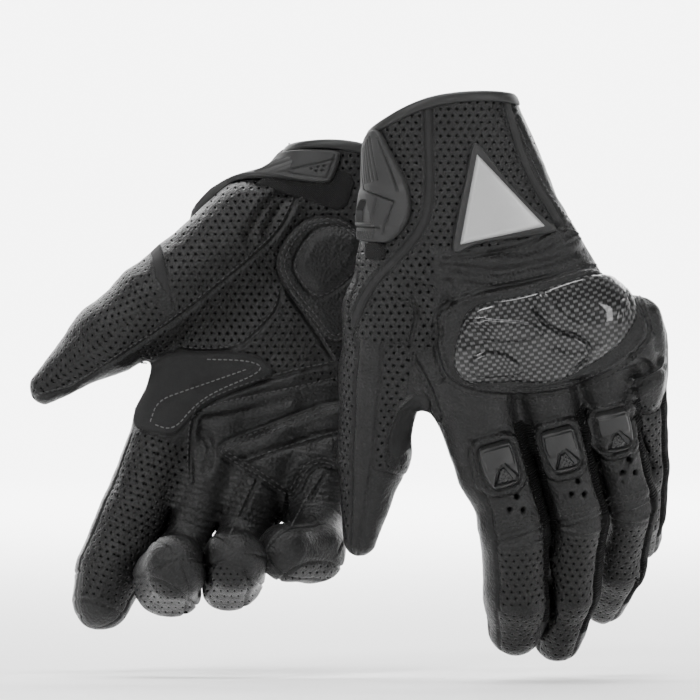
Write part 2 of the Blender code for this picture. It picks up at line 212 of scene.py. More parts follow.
class Finger:
    """One finger: its points, its bones, and the coordinates round and along it."""

    def __init__(self, name, spec, palm):
        knuckle, bones, radii = spec
        self.name, self.palm, self.radii = name, palm, np.array(radii, float)
        self.is_thumb = name == "thumb"
        self.headings = [math.radians(b[1]) for b in bones]
        self.curls = [math.radians(b[2]) for b in bones]
        self.lengths = [b[0] for b in bones]
        self.points = [np.array(knuckle, float)]
        for i, bone in enumerate(bones):
            self.points.append(self.points[-1] + self.direction(i) * bone[0])
        self.joint = 2 if self.is_thumb else 1

    def direction(self, bone):
        h, c = self.headings[bone], self.curls[bone]
        return np.array([math.sin(h) * math.cos(c), self.palm * math.sin(c), -math.cos(h) * math.cos(c)])

    def across(self, bone):
        h = self.headings[bone]
        return np.array([math.cos(h), 0.0, math.sin(h)])

    def palmar(self, bone):
        h, c = self.headings[bone], self.curls[bone]
        return np.array([-math.sin(h) * math.sin(c), self.palm * math.cos(c), math.cos(h) * math.sin(c)])

    def field(self, points):
        run_in = 30.0 if self.is_thumb else 24.0
        back = self.points[0] - self.direction(0) * run_in * (0.55 if self.is_thumb else 1.0)
        if self.is_thumb:
            back = back + np.array([14.0, 0.0, 16.0])
        root = self.radii[0] - (0.0 if self.is_thumb else 1.5)
        made = cone(points, back, self.points[0], root, self.radii[0])
        for i in range(3):
            piece = cone(points, self.points[i], self.points[i + 1], self.radii[i], self.radii[i + 1])
            made = soft_min(made, piece, 3.0)
        return made

    def coordinates(self, points):
        """For each point: mm along the bones from the knuckle, angle from the back in degrees, bone, mm across."""
        best = np.full(len(points), 1e9)
        along = np.zeros(len(points))
        angle = np.zeros(len(points))
        bone_of = np.zeros(len(points), int)
        lateral = np.zeros(len(points))
        start = 0.0
        for i in range(3):
            d = self.direction(i)
            offset = points - self.points[i]
            t = offset @ d
            low = -1e9 if i == 0 else 0.0
            high = self.lengths[i] if i < 2 else 1e9
            clamped = np.clip(t, low, high)
            away = np.linalg.norm(offset - clamped[:, None] * d, axis=1)
            take = away < best
            x, y = offset @ self.across(i), -(offset @ self.palmar(i))
            best = np.where(take, away, best)
            along = np.where(take, start + clamped, along)
            angle = np.where(take, np.degrees(np.arctan2(x, y)), angle)
            lateral = np.where(take, x, lateral)
            bone_of = np.where(take, i, bone_of)
            start += self.lengths[i]
        return along, angle, bone_of, lateral

    def surface(self, along, angle, lift=0.0):
        """A point on the bone chain's own tube: mm from the knuckle, degrees from the back."""
        bone, left = 0, along
        while bone < 2 and left > self.lengths[bone]:
            left -= self.lengths[bone]
            bone += 1
        t = left / self.lengths[bone]
        radius = self.radii[bone] + (self.radii[bone + 1] - self.radii[bone]) * t + lift
        a = math.radians(angle)
        out = self.across(bone) * math.sin(a) - self.palmar(bone) * math.cos(a)
        return self.points[bone] + self.direction(bone) * left + out * radius, out


def surface_nets(values, low, step):
    """Quads over the zero surface of a grid of distances, with one vertex in each cell that it crosses."""
    shape = np.array(values.shape) - 1
    total = np.zeros((*shape, 3), np.float32)
    count = np.zeros(tuple(shape), np.float32)
    crossings = []
    for axis in range(3):
        n = values.shape[axis]
        a = np.take(values, range(n - 1), axis)
        b = np.take(values, range(1, n), axis)
        crossed = (a < 0) != (b < 0)
        share = np.where(crossed, a / np.where(crossed, a - b, 1.0), 0.0)
        crossings.append((crossed, a < 0))
        others = [i for i in range(3) if i != axis]
        for u in (0, 1):
            for w in (0, 1):
                cut = [slice(None)] * 3
                cut[others[0]] = slice(u, values.shape[others[0]] - 1 + u)
                cut[others[1]] = slice(w, values.shape[others[1]] - 1 + w)
                c = crossed[tuple(cut)]
                count += c
                total[..., axis] += share[tuple(cut)]
                total[..., others[0]] += c * u
                total[..., others[1]] += c * w
    used = count > 0
    ids = np.full(tuple(shape), -1, np.int64)
    ids[used] = np.arange(int(used.sum()))
    cells = np.argwhere(used)
    verts = np.array(low) + step * (cells + total[used] / count[used][:, None])
    quads = []
    for axis, (crossed, inner_first) in enumerate(crossings):
        o1, o2 = [i for i in range(3) if i != axis]
        where = np.argwhere(crossed)
        keep = (where[:, o1] > 0) & (where[:, o2] > 0)
        keep &= (where[:, o1] < shape[o1]) & (where[:, o2] < shape[o2])
        where = where[keep]
        first = inner_first[tuple(where.T)]
        corners = []
        for u, w in ((1, 1), (0, 1), (0, 0), (1, 0)):
            cell = where.copy()
            cell[:, o1] -= u
            cell[:, o2] -= w
            corners.append(ids[tuple(cell.T)])
        face = np.stack(corners, 1)
        flip = first if axis != 1 else ~first
        face[~flip] = face[~flip][:, ::-1]
        quads.append(face)
    return verts, np.concatenate(quads)


def neighbours_mean(verts, quads):
    total = np.zeros_like(verts)
    count = np.zeros(len(verts))
    for i in range(4):
        a, b = quads[:, i], quads[:, (i + 1) % 4]
        for axis in range(3):
            total[:, axis] += np.bincount(a, verts[b, axis], len(verts)) + np.bincount(b, verts[a, axis], len(verts))
        count += np.bincount(a, minlength=len(verts)) + np.bincount(b, minlength=len(verts))
    return total / np.maximum(count, 1)[:, None]


def relax(verts, quads, rounds, share=0.5):
    for _ in range(rounds):
        verts = verts + (neighbours_mean(verts, quads) - verts) * share
    return verts


def vertex_normals(verts, quads):
    a, b, c, d = (verts[quads[:, i]] for i in range(4))
    face = np.cross(c - a, d - b)
    made = np.zeros_like(verts)
    for i in range(4):
        for axis in range(3):
            made[:, axis] += np.bincount(quads[:, i], face[:, axis], len(verts))
    return made / np.maximum(np.linalg.norm(made, axis=1), 1e-9)[:, None]


def mesh_of(name, verts, faces, scale=MM):
    """A Blender mesh from arrays of vertices in mm and of faces that all have as many corners."""
    mesh = bpy.data.meshes.new(name)
    corners = faces.shape[1]
    mesh.vertices.add(len(verts))
    mesh.vertices.foreach_set("co", (np.asarray(verts) * scale).astype(np.float32).ravel())
    mesh.loops.add(faces.size)
    mesh.loops.foreach_set("vertex_index", faces.astype(np.int32).ravel())
    mesh.polygons.add(len(faces))
    mesh.polygons.foreach_set("loop_start", np.arange(0, faces.size, corners, dtype=np.int32))
    mesh.update(calc_edges=True)
    mesh.shade_smooth()
    return mesh


def subdivide(verts, quads):
    mesh = mesh_of("work", verts, quads, 1.0)
    obj = bpy.data.objects.new("work", mesh)
    bpy.context.scene.collection.objects.link(obj)
    modifier = obj.modifiers.new("fine", "SUBSURF")
    modifier.levels = 1
    made = obj.evaluated_get(bpy.context.evaluated_depsgraph_get()).to_mesh()
    out = np.empty(len(made.vertices) * 3, np.float32)
    made.vertices.foreach_get("co", out)
    corners = np.empty(len(made.loops), np.int32)
    made.loops.foreach_get("vertex_index", corners)
    result = out.reshape(-1, 3).astype(float), corners.reshape(-1, 4).astype(np.int64)
    bpy.data.objects.remove(obj)
    bpy.data.meshes.remove(mesh)
    return result


def glove_skin(glove):
    """The smooth outside of a glove, open at the cuff."""
    low = np.full(3, 1e9)
    high = -low
    for finger in glove.fingers.values():
        for p, r in zip(finger.points, finger.radii):
            low, high = np.minimum(low, p - r), np.maximum(high, p + r)
    for centre, width, depth in zip(glove.centres, glove.widths, glove.depths):
        reach = np.array([width, depth, 0.3 * width])
        low, high = np.minimum(low, centre - reach), np.maximum(high, centre + reach)
    low, high = low - 5.0, high + 5.0
    high[2] += WRIST_RISE
    size = np.ceil((high - low) / STEP).astype(int)
    axes = [low[i] + STEP * np.arange(size[i]) for i in range(3)]
    values = np.empty(tuple(size), np.float32)
    yy, zz = np.meshgrid(axes[1], axes[2], indexing="ij")
    for i, x in enumerate(axes[0]):
        slab = np.stack([np.full(yy.size, x), yy.ravel(), zz.ravel()], 1)
        values[i] = glove.field(slab)[0].reshape(yy.shape)
    verts, quads = surface_nets(values, low, STEP)
    verts = relax(verts, quads, 5)
    along, beyond, _, _, _, _ = glove.locate(verts)
    open_side = (along <= 0.0) & (beyond < 0.0)
    keep = ~np.all(open_side[quads], axis=1)
    quads = quads[keep]
    used = np.unique(quads)
    index = np.full(len(verts), -1)
    index[used] = np.arange(len(used))
    verts, quads = verts[used], index[quads]
    along, beyond, _, _, _, _ = glove.locate(verts)
    lift = np.where(along <= 0.0, np.minimum(beyond, 0.0), 0.0)
    down = glove.at(np.zeros(len(verts)))[2]
    verts = verts - down * lift[:, None]
    return subdivide(verts, quads)


# Where the details are, in millimetres: X and Z on the back of the left glove, and on the palm of the right one.
# The other glove of the pair gets the same details, carried over by share of length and of width.
BACK_BANDS = (
    (((-5.5, 6), (-4.5, -18), (-4.5, -36), (-6, -46), (-12, -55), (-20, -63), (-28, -71), (-34, -84),
      (-38, -96)), 1.7),
    (((27, 1), (31.5, -16), (37, -29), (44, -40), (48.5, -48)), 1.6),
)
BACK_SEAMS = (
    ((31, -4), (36, -18), (46, -38), (59, -50)),
    ((46, -47), (53, -48), (61, -52)),
    ((1, -61), (13, -60), (26, -57.5), (36, -55), (47, -47.5)),
    ((-11, -76), (-9, -84), (-13, -97), (-6, -107), (0, -124)),
)
BACK_FOLDS = (  # line, depth, half width
    (((2, -64), (12, -66), (24, -67), (46, -62), (60, -56)), 1.5, 2.2),
    (((4, -70), (20, -72.5), (34, -70), (50, -65), (66, -58)), 1.3, 2.0),
    (((-6, -63), (4, -72), (3, -80)), 1.2, 2.4),
    (((-17, -66), (-10, -72), (-3, -74)), 1.0, 2.2),
    (((-22, -76), (-12, -80), (-6, -88)), 0.7, 2.0),
    (((20, -59), (38, -58), (52, -52)), 0.8, 1.8),
    (((-1, -88), (-5, -98), (0, -108)), 1.0, 1.8),
    (((74, -62), (82, -74), (86, -88)), 0.8, 2.2),
    (((76, -99), (84, -104), (88, -112)), 1.0, 1.6),
    (((84, -86), (87, -96), (89, -106)), 0.8, 1.5),
)
GUARD_SEAM = ((0, -80), (14, -74), (41, -69), (60, -63), (74, -69), (82, -83), (83.5, -93), (70, -105), (51, -113.5),
              (34, -115.5), (17, -115), (3, -110), (-1.5, -98), (-2.5, -86))
GUARD = ((12, -79), (36, -75), (60, -66), (73, -70), (78.5, -79), (77.5, -88), (69, -97), (56, -105), (43, -110.5),
         (31, -109.5), (20, -110.5), (9, -110), (5, -102), (8, -88))
BADGE_BASE = ((13.4, -14.2), (17, -17), (28, -32), (40, -44.5), (46.5, -48.5), (45, -51), (24, -53.5), (14, -55),
              (7, -59), (4, -58.5), (6, -46), (10, -28), (12, -17))
PALM_SEAMS = (
    ((-55, -28), (-63, -47), (-74, -58), (-91, -72), (-110, -87), (-133, -102), (-150, -113), (-166, -117)),
    ((-64, -73), (-65.5, -81), (-74, -90), (-82, -97), (-96, -98), (-106, -97)),
    ((-42, -103), (-66, -108), (-93, -117.5), (-100.5, -124), (-101.5, -141), (-101, -151)),
    ((-43, -101), (-52, -87), (-62, -73)),
    ((-74, -151), (-79, -161), (-84, -174)),
    ((-46.5, -149), (-52, -157), (-59, -170)),
)
CROTCH = ((-121, -102), (-105, -97), (-76, -98), (-68, -103.5), (-66, -108), (-93, -118), (-100.5, -124),
          (-108, -133.5), (-119, -130.5), (-127, -128))
CROTCH_STITCHES = (
    ((-95, -101), (-76, -101.5), (-70.5, -105.5), (-91, -114), (-100, -120), (-108.5, -130.5), (-118, -127)),
    ((-118, -127), (-115, -118), (-104, -114), (-91, -109.5), (-78, -105)),
)
HEEL_PAD = ((-37, -42.5), (-51, -42), (-60, -48), (-67, -60.5), (-63, -72), (-52, -85), (-43, -97),
            (-30, -86), (-22, -60))
HEEL_INNER = ((-40, -46), (-47, -46.5), (-53.5, -50.5), (-60, -61), (-57, -69), (-49.5, -77),
              (-39, -71), (-31, -62), (-30, -50))
PALM_PAD = ((-40, -116), (-67, -127), (-88, -134.5), (-91, -139), (-86, -143), (-74, -149.5), (-62, -158.5),
            (-57.5, -156), (-53, -146.5), (-47, -143.5), (-41, -147), (-34, -142), (-28, -122))
PAD_HEIGHTS = ((HEEL_PAD, 1.0, 1.6), (HEEL_INNER, 2.0, 5.0), (PALM_PAD, 2.6, 5.0), (CROTCH, 0.8, 0.9))
PALM_LINE = ((-79, -142.5), (-59, -135.5), (-43, -131), (-33, -128))
THUMB_STRIP = ((-116.5, -52), (-112.5, -70), (-108.0, -87.5))
THUMB_SEAMS = (-36.0, 0.0)  # degrees from the middle of the thumb's back, on the left glove
THUMB_OVAL = ((-12.5, -128.0), 5.5, 13.5, 24.0)  # middle, half sizes and lean of the recess inside the thumb
PALM_UPPER = ((-101, -125), (-93, -119.5), (-76, -116), (-55, -111.5), (-40, -108))
PALM_FOLDS = (
    (((-98, -112), (-80, -111), (-60, -106)), 0.7, 1.8),
    (((-97, -126), (-84, -124), (-62, -118)), 0.8, 1.8),
    (((-97, -131), (-92, -137), (-95, -146)), 0.8, 1.8),
    (((-60, -33), (-66, -40), (-70, -48)), 1.4, 2.4),
    (((-64, -32), (-72, -40), (-77, -50)), 1.2, 2.2),
)
JOINT_SEAM = 3.0  # how far above the middle joint its seam crosses the back, in mm
STITCH_LENGTH = 1.7
STITCH_PITCH = 2.5
STITCH_RADIUS = 0.27
STITCH_LIFT = (-0.32, 0.14, 0.14, -0.32)  # how far a stitch's four points stand off the skin
STITCH_STRETCH = 2.4  # a stitch drawn out beyond this many lengths has crossed a gap, and is left out
LEAST_NORMAL = 0.6  # below this length of its mean direction, the skin turns too sharply to be sewn
PALE_PITCH = 2.3
PAD_ROWS = (1.2, 3.0)  # mm from a pad's edge to its two rows of stitches
SKIN_DROP = 90.0  # mm outside the hand from which a point is dropped on the skin
FINGER_DROP, FINGER_REACH = 4.5, 12.0  # the same on a finger, short enough to miss its neighbour
SWEEP_SIDES = 72
ARMOUR = {"index": (22.5, 9.4), "middle": (21.5, 9.4), "ring": (18.5, 9.2)}  # mm from the knuckle, half length
SIDE_SEAM = 50.0  # degrees from the middle of the back to the seam beside it
INDEX_SEAM = 36.0  # the same on the thumb's side of the forefinger
SEED = 11


def lattice_noise(points, size, seed):
    """Smooth noise from -1 to 1 whose bumps are about that many millimetres apart."""
    rng = np.random.default_rng(seed)
    table = rng.uniform(-1, 1, 4096)
    p = points / size
    cell = np.floor(p).astype(np.int64)
    f = smooth(p - cell)
    total = np.zeros(len(points))
    for dx in (0, 1):
        for dy in (0, 1):
            for dz in (0, 1):
                key = (cell[:, 0] + dx) * 73856093 ^ (cell[:, 1] + dy) * 19349663 ^ (cell[:, 2] + dz) * 83492791
                weight = np.abs(1 - dx - f[:, 0]) * np.abs(1 - dy - f[:, 1]) * np.abs(1 - dz - f[:, 2])
                total += table[key & 4095] * weight
    return total


def line_distance(flat, line, closed=False):
    """Distance from each 2D point to a line of points."""
    line = np.array(line, float)
    ends = np.roll(line, -1, 0) if closed else line[1:]
    best = np.full(len(flat), 1e9)
    for a, b in zip(line, ends):
        ab = b - a
        t = np.clip(((flat - a) @ ab) / max(ab @ ab, 1e-9), 0, 1)
        best = np.minimum(best, np.linalg.norm(flat - a - t[:, None] * ab, axis=1))
    return best


def rounded(line, closed=False, rounds=3):
    """The line with its corners cut, as a fair curve."""
    p = [np.array(q, float) for q in line]
    for _ in range(rounds):
        made = []
        pairs = list(zip(p, p[1:] + p[:1] if closed else p[1:]))
        if not closed:
            made.append(p[0])
        for a, b in pairs:
            made += [a * 0.75 + b * 0.25, a * 0.25 + b * 0.75]
        if not closed:
            made.append(p[-1])
        p = made
    return np.array(p)


def inside_distance(flat, line):
    """Distance to a closed line, positive inside it."""
    line = np.array(line, float)
    inside = np.zeros(len(flat), bool)
    for a, b in zip(line, np.roll(line, -1, 0)):
        spans = (a[1] > flat[:, 1]) != (b[1] > flat[:, 1])
        slope = (b[0] - a[0]) / (b[1] - a[1] if abs(b[1] - a[1]) > 1e-9 else 1e-9)
        inside ^= spans & (flat[:, 0] < a[0] + (flat[:, 1] - a[1]) * slope)
    return np.where(inside, 1.0, -1.0) * line_distance(flat, line, closed=True)


def groove(distance, depth, width):
    return -depth * np.exp(-((distance / width) ** 2))


def reference_of(back):
    """The glove that the details of that side are drawn on."""
    return GLOVES["left" if back else "right"]


def to_reference(glove, points, back):
    """The plane coordinates of each point on the glove that its side's details are drawn on."""
    other = reference_of(back)
    if other is glove:
        return points[:, [0, 2]]
    along, beyond, x, _, width, _ = glove.locate(points)
    return other.place(along, beyond, x / width)


def from_reference(glove, flat, back):
    """Where a detail's plane coordinates lie on this glove, as X and Z."""
    other = reference_of(back)
    if other is glove:
        return np.asarray(flat, float)
    points = np.stack([flat[:, 0], np.full(len(flat), other.centres[2][1]), flat[:, 1]], 1)
    along, beyond, x, _, width, _ = other.locate(points)
    return glove.place(along, beyond, x / width)


def panel_relief(flat, back):
    """Height of the embossing and the masks of the finishes on one side of the hand, at its plane coordinates."""
    n = len(flat)
    lift = np.zeros(n)
    mask = {name: np.zeros(n) for name in ("perf", "band", "suede")}
    if back:
        for line, depth, width in BACK_FOLDS:
            d = line_distance(flat, rounded(line))
            lift += groove(d, depth, width) + 0.45 * depth * np.exp(-(((d - 2.0 * width) / (1.3 * width)) ** 2))
        for line in BACK_SEAMS:
            d = line_distance(flat, rounded(line))
            lift += groove(d, 0.8, 0.75) + 0.3 * np.exp(-(((d - 1.7) / 1.2) ** 2))
        seam = rounded(GUARD_SEAM, closed=True)
        d = inside_distance(flat, seam)
        lift += groove(d, 0.9, 0.9) + 1.1 * smooth((d + 1.0) / 3.0)
        lift += groove(d - 3.2, 0.35, 0.6)
        panel = smooth((-d) / 1.2)
        top = np.maximum(flat[:, 1] + 59.0 - 0.22 * np.abs(flat[:, 0] - 10), 0)
        cuff = smooth(top / 1.5)
        thumb_side = smooth((-2.0 - flat[:, 0] + 0.0 * flat[:, 1]) / 1.5) * smooth((flat[:, 1] + 98) / 4)
        mask["perf"] = np.clip(np.maximum(cuff, thumb_side), 0, 1) * panel
        for line, half in BACK_BANDS:
            d = line_distance(flat, rounded(line))
            lift += groove(d - half, 0.7, 0.5) + 0.25 * smooth((half - d) / 0.5)
            band = smooth((half - d) / 0.4 + 0.5)
            mask["band"] = np.maximum(mask["band"], band)
            mask["perf"] *= 1 - smooth((half + 1.2 - d) / 0.5)
        for line in BACK_SEAMS:
            mask["perf"] *= smooth((line_distance(flat, rounded(line)) - 1.3) / 0.5)
    else:
        for line, depth, width in PALM_FOLDS:
            d = line_distance(flat, rounded(line))
            lift += groove(d, depth, width) + 0.45 * depth * np.exp(-(((d - 2.0 * width) / (1.3 * width)) ** 2))
        for line in PALM_SEAMS:
            d = line_distance(flat, rounded(line))
            lift += groove(d, 0.8, 0.75) + 0.25 * np.exp(-(((d - 1.7) / 1.2) ** 2))
        for line, height, edge in PAD_HEIGHTS:
            d = inside_distance(flat, rounded(line, closed=True))
            lift += height * smooth(d / edge) + groove(d, 0.8, 0.7)
        lift += groove(line_distance(flat, rounded(PALM_LINE)), 2.0, 1.8)
        lift += groove(line_distance(flat, rounded(PALM_UPPER)), 0.7, 1.1)
        strip = line_distance(flat, np.array(THUMB_STRIP))
        lift += groove(strip - 2.3, 0.7, 0.5)
        mask["band"] = smooth((2.3 - strip) / 0.4 + 0.5) * (flat[:, 1] > -86.5)
        crotch = smooth(inside_distance(flat, rounded(CROTCH, closed=True)) / 0.8 + 0.5)
        heel = smooth(inside_distance(flat, rounded(HEEL_PAD, closed=True)) / 0.8 + 0.8)
        mask["suede"] = crotch
        mask["perf"] = smooth((flat[:, 1] + 107.5 + 0.2 * (flat[:, 0] + 66)) / 1.2) * (1 - crotch) * (1 - heel)
        mask["perf"] *= smooth((strip - 3.4) / 0.6)
        for line in PALM_SEAMS:
            mask["perf"] *= smooth((line_distance(flat, rounded(line)) - 1.2) / 0.5)
    return lift, mask


def finger_relief(glove, finger, points):
    """Height and masks on one finger's skin, for the points that belong to it."""
    along, angle, _, lateral = finger.coordinates(points)
    total = sum(finger.lengths)
    lift = np.zeros(len(points))
    mask = {name: np.zeros(len(points)) for name in ("perf", "rib", "dark", "touch")}
    radius = np.interp(along, np.cumsum([0, *finger.lengths]), finger.radii)
    away = np.abs(angle)
    arc = np.radians(1.0) * radius
    start = smooth((along - 2.0) / 8.0)
    if finger.is_thumb:
        if glove.side == "left":
            # Perforated outside the first seam, smooth to the second, perforated again down to the cap.
            for middle in THUMB_SEAMS:
                lift += groove((angle - middle) * arc, 0.9, 0.75) * start
            cap = along - (total - 30.0) - 0.1 * lateral
            lift += groove(cap, 0.8, 0.7) * smooth((angle - THUMB_SEAMS[1]) / 4.0) * smooth((100.0 - angle) / 6.0)
            outside = smooth((THUMB_SEAMS[0] - angle) * arc / 0.6 - 1.2)
            inside = smooth((angle - THUMB_SEAMS[1]) * arc / 0.6 - 1.2) * smooth(-cap / 0.8 - 1.0)
            mask["perf"] = np.maximum(outside, inside)
            return lift, mask
        lift += groove((away - 78.0) * arc, 0.8, 0.75) * start * (away < 90)
        mask["perf"] = smooth((78.0 - away) * arc / 0.6 - 1.5)
        line = np.array(PALM_SEAMS[0], float)[::-1]
        above = (points[:, 2] - np.interp(points[:, 0], line[:, 0], line[:, 1])) * 0.78
        lift += np.where(away > 88, groove(above, 0.8, 0.75), 0.0)
        near = smooth(above / 0.7 - 1.0)
        far = smooth((points[:, 0] + 124.0) / 1.5) * smooth(-above / 0.7 - 1.0)
        mask["perf"] = np.where(away > 88, np.maximum(near, far), mask["perf"])
        strip = np.abs(line_distance(points[:, [0, 2]], THUMB_STRIP))
        mask["perf"] *= smooth((strip - 3.4) / 0.6)
        return lift, mask
    edge = np.where(angle < 0, INDEX_SEAM, SIDE_SEAM) if finger.name == "index" else SIDE_SEAM
    seam = (away - edge) * arc
    lower = (away - 118.0) * arc
    shaft = smooth((along - 6.0) / 6.0)
    lift += groove(seam, 0.9, 0.75) * shaft
    lift += groove(lower, 0.7, 0.7) * shaft
    side = (away > edge) & (away < 118.0)
    mask["rib"] = np.where(side, 1.0, 0.0) * smooth((total - 8.0 - along) / 2.0) * shaft
    first = finger.lengths[0]
    back = smooth((edge - away) * arc / 0.6 - 1.2)
    mask["perf"] = back * smooth((along - first - 4.0) / 1.0)
    if finger.name == "pinky":
        mask["perf"] = back * smooth((along - 8.0) / 2.0)
    if finger.name == "index":
        radial = angle < -INDEX_SEAM
        mask["rib"] = np.where(radial, 0.0, mask["rib"])
        if glove.side == "right":
            palm = smooth((away - 121.0) * arc / 0.6)
            holes = palm * smooth((along - 4) / 2) * smooth((total + 3.0 - along) / 1.0)
            mask["perf"] = np.maximum(mask["perf"], holes)
            lift += groove((total + 4.0 - along), 0.6, 0.7) * np.where(away > 90, 1.0, 0.0)
        patch = np.maximum(np.abs(angle + 100.0) * arc - 6.5, np.abs(along - (total + 1.5)) - 8.5)
        mask["touch"] = smooth(0.5 - patch / 0.8)
        lift += groove(patch, 0.6, 0.6)
        mask["perf"] *= smooth(patch / 0.8)
        mask["rib"] *= smooth(patch / 0.8)
    # The fold and the seam across the middle joint.
    tilt = along - first + JOINT_SEAM + 0.05 * lateral
    on_back = smooth((edge + 4 - away) / 8.0)
    if finger.name != "pinky":
        lift += (groove(tilt - 3.0, 1.1, 0.8) + groove(tilt - 0.5, 0.6, 1.0) + groove(tilt - 6.0, 0.4, 0.9)) * on_back
        lift += 0.7 * np.exp(-(((tilt + 3.0) / 3.0) ** 2)) * on_back
    # Creases across the inside of the joints.
    inner = smooth((away - 112.0) / 14.0)
    ripple = np.sin(along * 2.3 + 2.0 * lattice_noise(points, 7.0, SEED + 3)) * 0.17
    near = np.exp(-(((along - first * 0.55) / 18.0) ** 2)) + np.exp(-(((along - first) / 8.0) ** 2))
    lift += ripple * inner * np.clip(near, 0, 1)
    if finger.name in ARMOUR:
        where, half = ARMOUR[finger.name]
        a = angle * arc
        t = along - where
        box = np.maximum(np.abs(t) - half + 4.0, 0.0), np.maximum(np.abs(a) - 7.2 + 4.0, 0.0)
        ring = np.hypot(*box) - 4.0
        lift += 1.5 * smooth((4.2 - ring) / 2.6) + groove(ring - 3.9, 0.5, 0.7) - 0.9 * smooth((0.6 - ring) / 0.8)
        # Three holes, dented and marked dark: the leather colours them near black with no shine, as painted shade
        # inside them.
        for hole_t, hole_a in ((half + 5.0, 3.6), (half + 9.5, -0.6), (half + 11.0, 4.9)):
            d = np.hypot(t - hole_t, a - hole_a)
            lift -= 1.3 * smooth((1.35 - d) / 0.6)
            mask["dark"] = np.maximum(mask["dark"], smooth((1.2 - d) / 0.4))
    return lift, mask


CURLED = math.radians(50)  # a finger whose second bone bends more than this shows its end as a ball
BALL_SEAMS = {"middle": (-0.5, -0.55), "ring": (4.5, -0.2), "pinky": (-4.0, 0.12)}


def emboss(glove, verts, quads):
    """The skin with its seams, folds, pads and creases, and the masks that its finish is drawn with."""
    normals = vertex_normals(verts, quads)
    _, chains, _ = glove.field(verts)
    nearest = np.argmin(chains, 0)
    along, _, _, y, _, _ = glove.locate(verts)
    lift = np.zeros(len(verts))
    masks = {name: np.zeros(len(verts)) for name in ("perf", "rib", "band", "suede", "dark", "touch")}
    grain = np.zeros((len(verts), 2))
    finger_share = np.zeros(len(verts))
    for i, name in enumerate(NAMES):
        finger = glove.fingers[name]
        mine = nearest == i
        where = np.flatnonzero(mine)
        local, angle, _, _ = finger.coordinates(verts[where])
        share = smooth((local - 6.0) / 4.0) * smooth((6.0 - chains[i][where]) / 4.0)
        radius = np.interp(local, np.cumsum([0, *finger.lengths]), finger.radii)
        raised, mask = finger_relief(glove, finger, verts[where])
        lift[where] += raised * share
        finger_share[where] = share
        for key, value in mask.items():
            masks[key][where] = np.maximum(masks[key][where], value * (share > 0.5))
        grain[where] = np.stack([np.radians(angle) * radius, local], 1)
        if finger.curls[1] > CURLED:
            ball = finger.points[2]
            at = verts[where][:, [0, 2]] - ball[[0, 2]]
            height = at[:, 1] - BALL_SEAMS[name][0] - BALL_SEAMS[name][1] * at[:, 0] + at[:, 0] ** 2 / 34.0
            on_ball = smooth((local - finger.lengths[0] - 2.0) / 5.0)
            lift[where] += groove(height, 0.8, 0.7) * on_ball
            below = smooth(-height / 0.8 - 0.6)
            masks["perf"][where] = np.where(on_ball > 0.5, below, masks["perf"][where])
            masks["rib"][where] *= 1 - on_ball
            grain[where] = np.where((on_ball > 0.5)[:, None], at * 1.15, grain[where])
    hand = 1 - finger_share
    palm_reach = np.zeros(len(verts))
    for i, name in enumerate(FOUR):
        local = glove.fingers[name].coordinates(verts)[0]
        palm_reach = np.where((nearest == i) & (y < 6) & (local < 42), 1.0, palm_reach)
    for back in (True, False):
        keep = (y > 0) if back else (y <= 0)
        where = np.flatnonzero(keep & ((hand > 0.01) | (palm_reach > 0)))
        flat = to_reference(glove, verts[where], back)
        raised, mask = panel_relief(flat, back)
        facing = smooth((np.abs(normals[where, 1]) - 0.15) / 0.35)
        weight = hand[where] if back else np.maximum(hand[where], palm_reach[where])
        lift[where] += raised * facing * weight
        for key, value in mask.items():
            masks[key][where] = np.where(hand[where] > 0.5, value, masks[key][where])
        planar = np.flatnonzero(keep & (hand > 0.5))
        grain[planar] = to_reference(glove, verts[planar], back)
    if glove.side == "left":
        (cx, cz), half_x, half_z, lean = THUMB_OVAL
        turn = math.radians(lean)
        px, pz = verts[:, 0] - cx, verts[:, 2] - cz
        u = (px * math.cos(turn) - pz * math.sin(turn)) / half_x
        w = (px * math.sin(turn) + pz * math.cos(turn)) / half_z
        ring = (np.hypot(u, w) - 1.0) * half_x
        front = smooth(-normals[:, 1] / 0.2)
        lift += (groove(ring, 0.9, 0.9) - 1.6 * smooth((-ring) / 2.5)) * front
        masks["suede"] = np.maximum(masks["suede"], smooth(0.5 - ring / 0.8) * (front > 0.3))
        masks["perf"] *= 1 - smooth((2.0 - ring) / 0.6) * (front > 0.3)
    side_seam = np.exp(-((y / 0.8) ** 2)) * hand * smooth((0.97 - along) / 0.03)
    lift -= 0.7 * side_seam
    lift += 0.40 * lattice_noise(verts, 14.0, SEED) + 0.28 * lattice_noise(verts, 6.0, SEED + 1)
    lift += 0.10 * lattice_noise(verts, 2.6, SEED + 2)
    edge = np.where(along <= 0.0, 0.0, 1.0)
    verts = verts + normals * (lift * edge)[:, None]
    return verts, masks, grain, nearest, chains


def split(glove, verts, quads, nearest, chains):
    """Which moving piece each face belongs to: 0 the back, 1 the palm, then two for each finger."""
    centre = verts[quads].mean(1)
    finger_of = nearest[quads[:, 0]]
    piece = np.where(glove.locate(centre)[3] > 0, 0, 1)
    for i, name in enumerate(NAMES):
        finger = glove.fingers[name]
        start, _, way = finger_blend(finger)
        mine = finger_of == i
        past = (centre - start) @ way > -0.5
        if finger.is_thumb:
            past &= chains[i][quads[:, 0]] < 7.0
        piece = np.where(mine & past, 2 + 2 * i, piece)
        joint_start, _, joint_way = joint_blend(finger)
        beyond = (centre - joint_start) @ joint_way > -1.0
        piece = np.where(mine & past & beyond, 3 + 2 * i, piece)
    return piece


def finger_blend(finger):
    """Where the skin starts and stops turning with a finger, and the way between, slanted from back to palm."""
    slant = math.radians(0.0 if finger.is_thumb else 32.0)
    way = finger.direction(0) * math.cos(slant) - finger.palmar(0) * math.sin(slant)
    low, high = (-8.0, 12.0) if finger.is_thumb else (-5.0, 9.0)
    return finger.points[0] + way * low, finger.points[0] + way * high, way


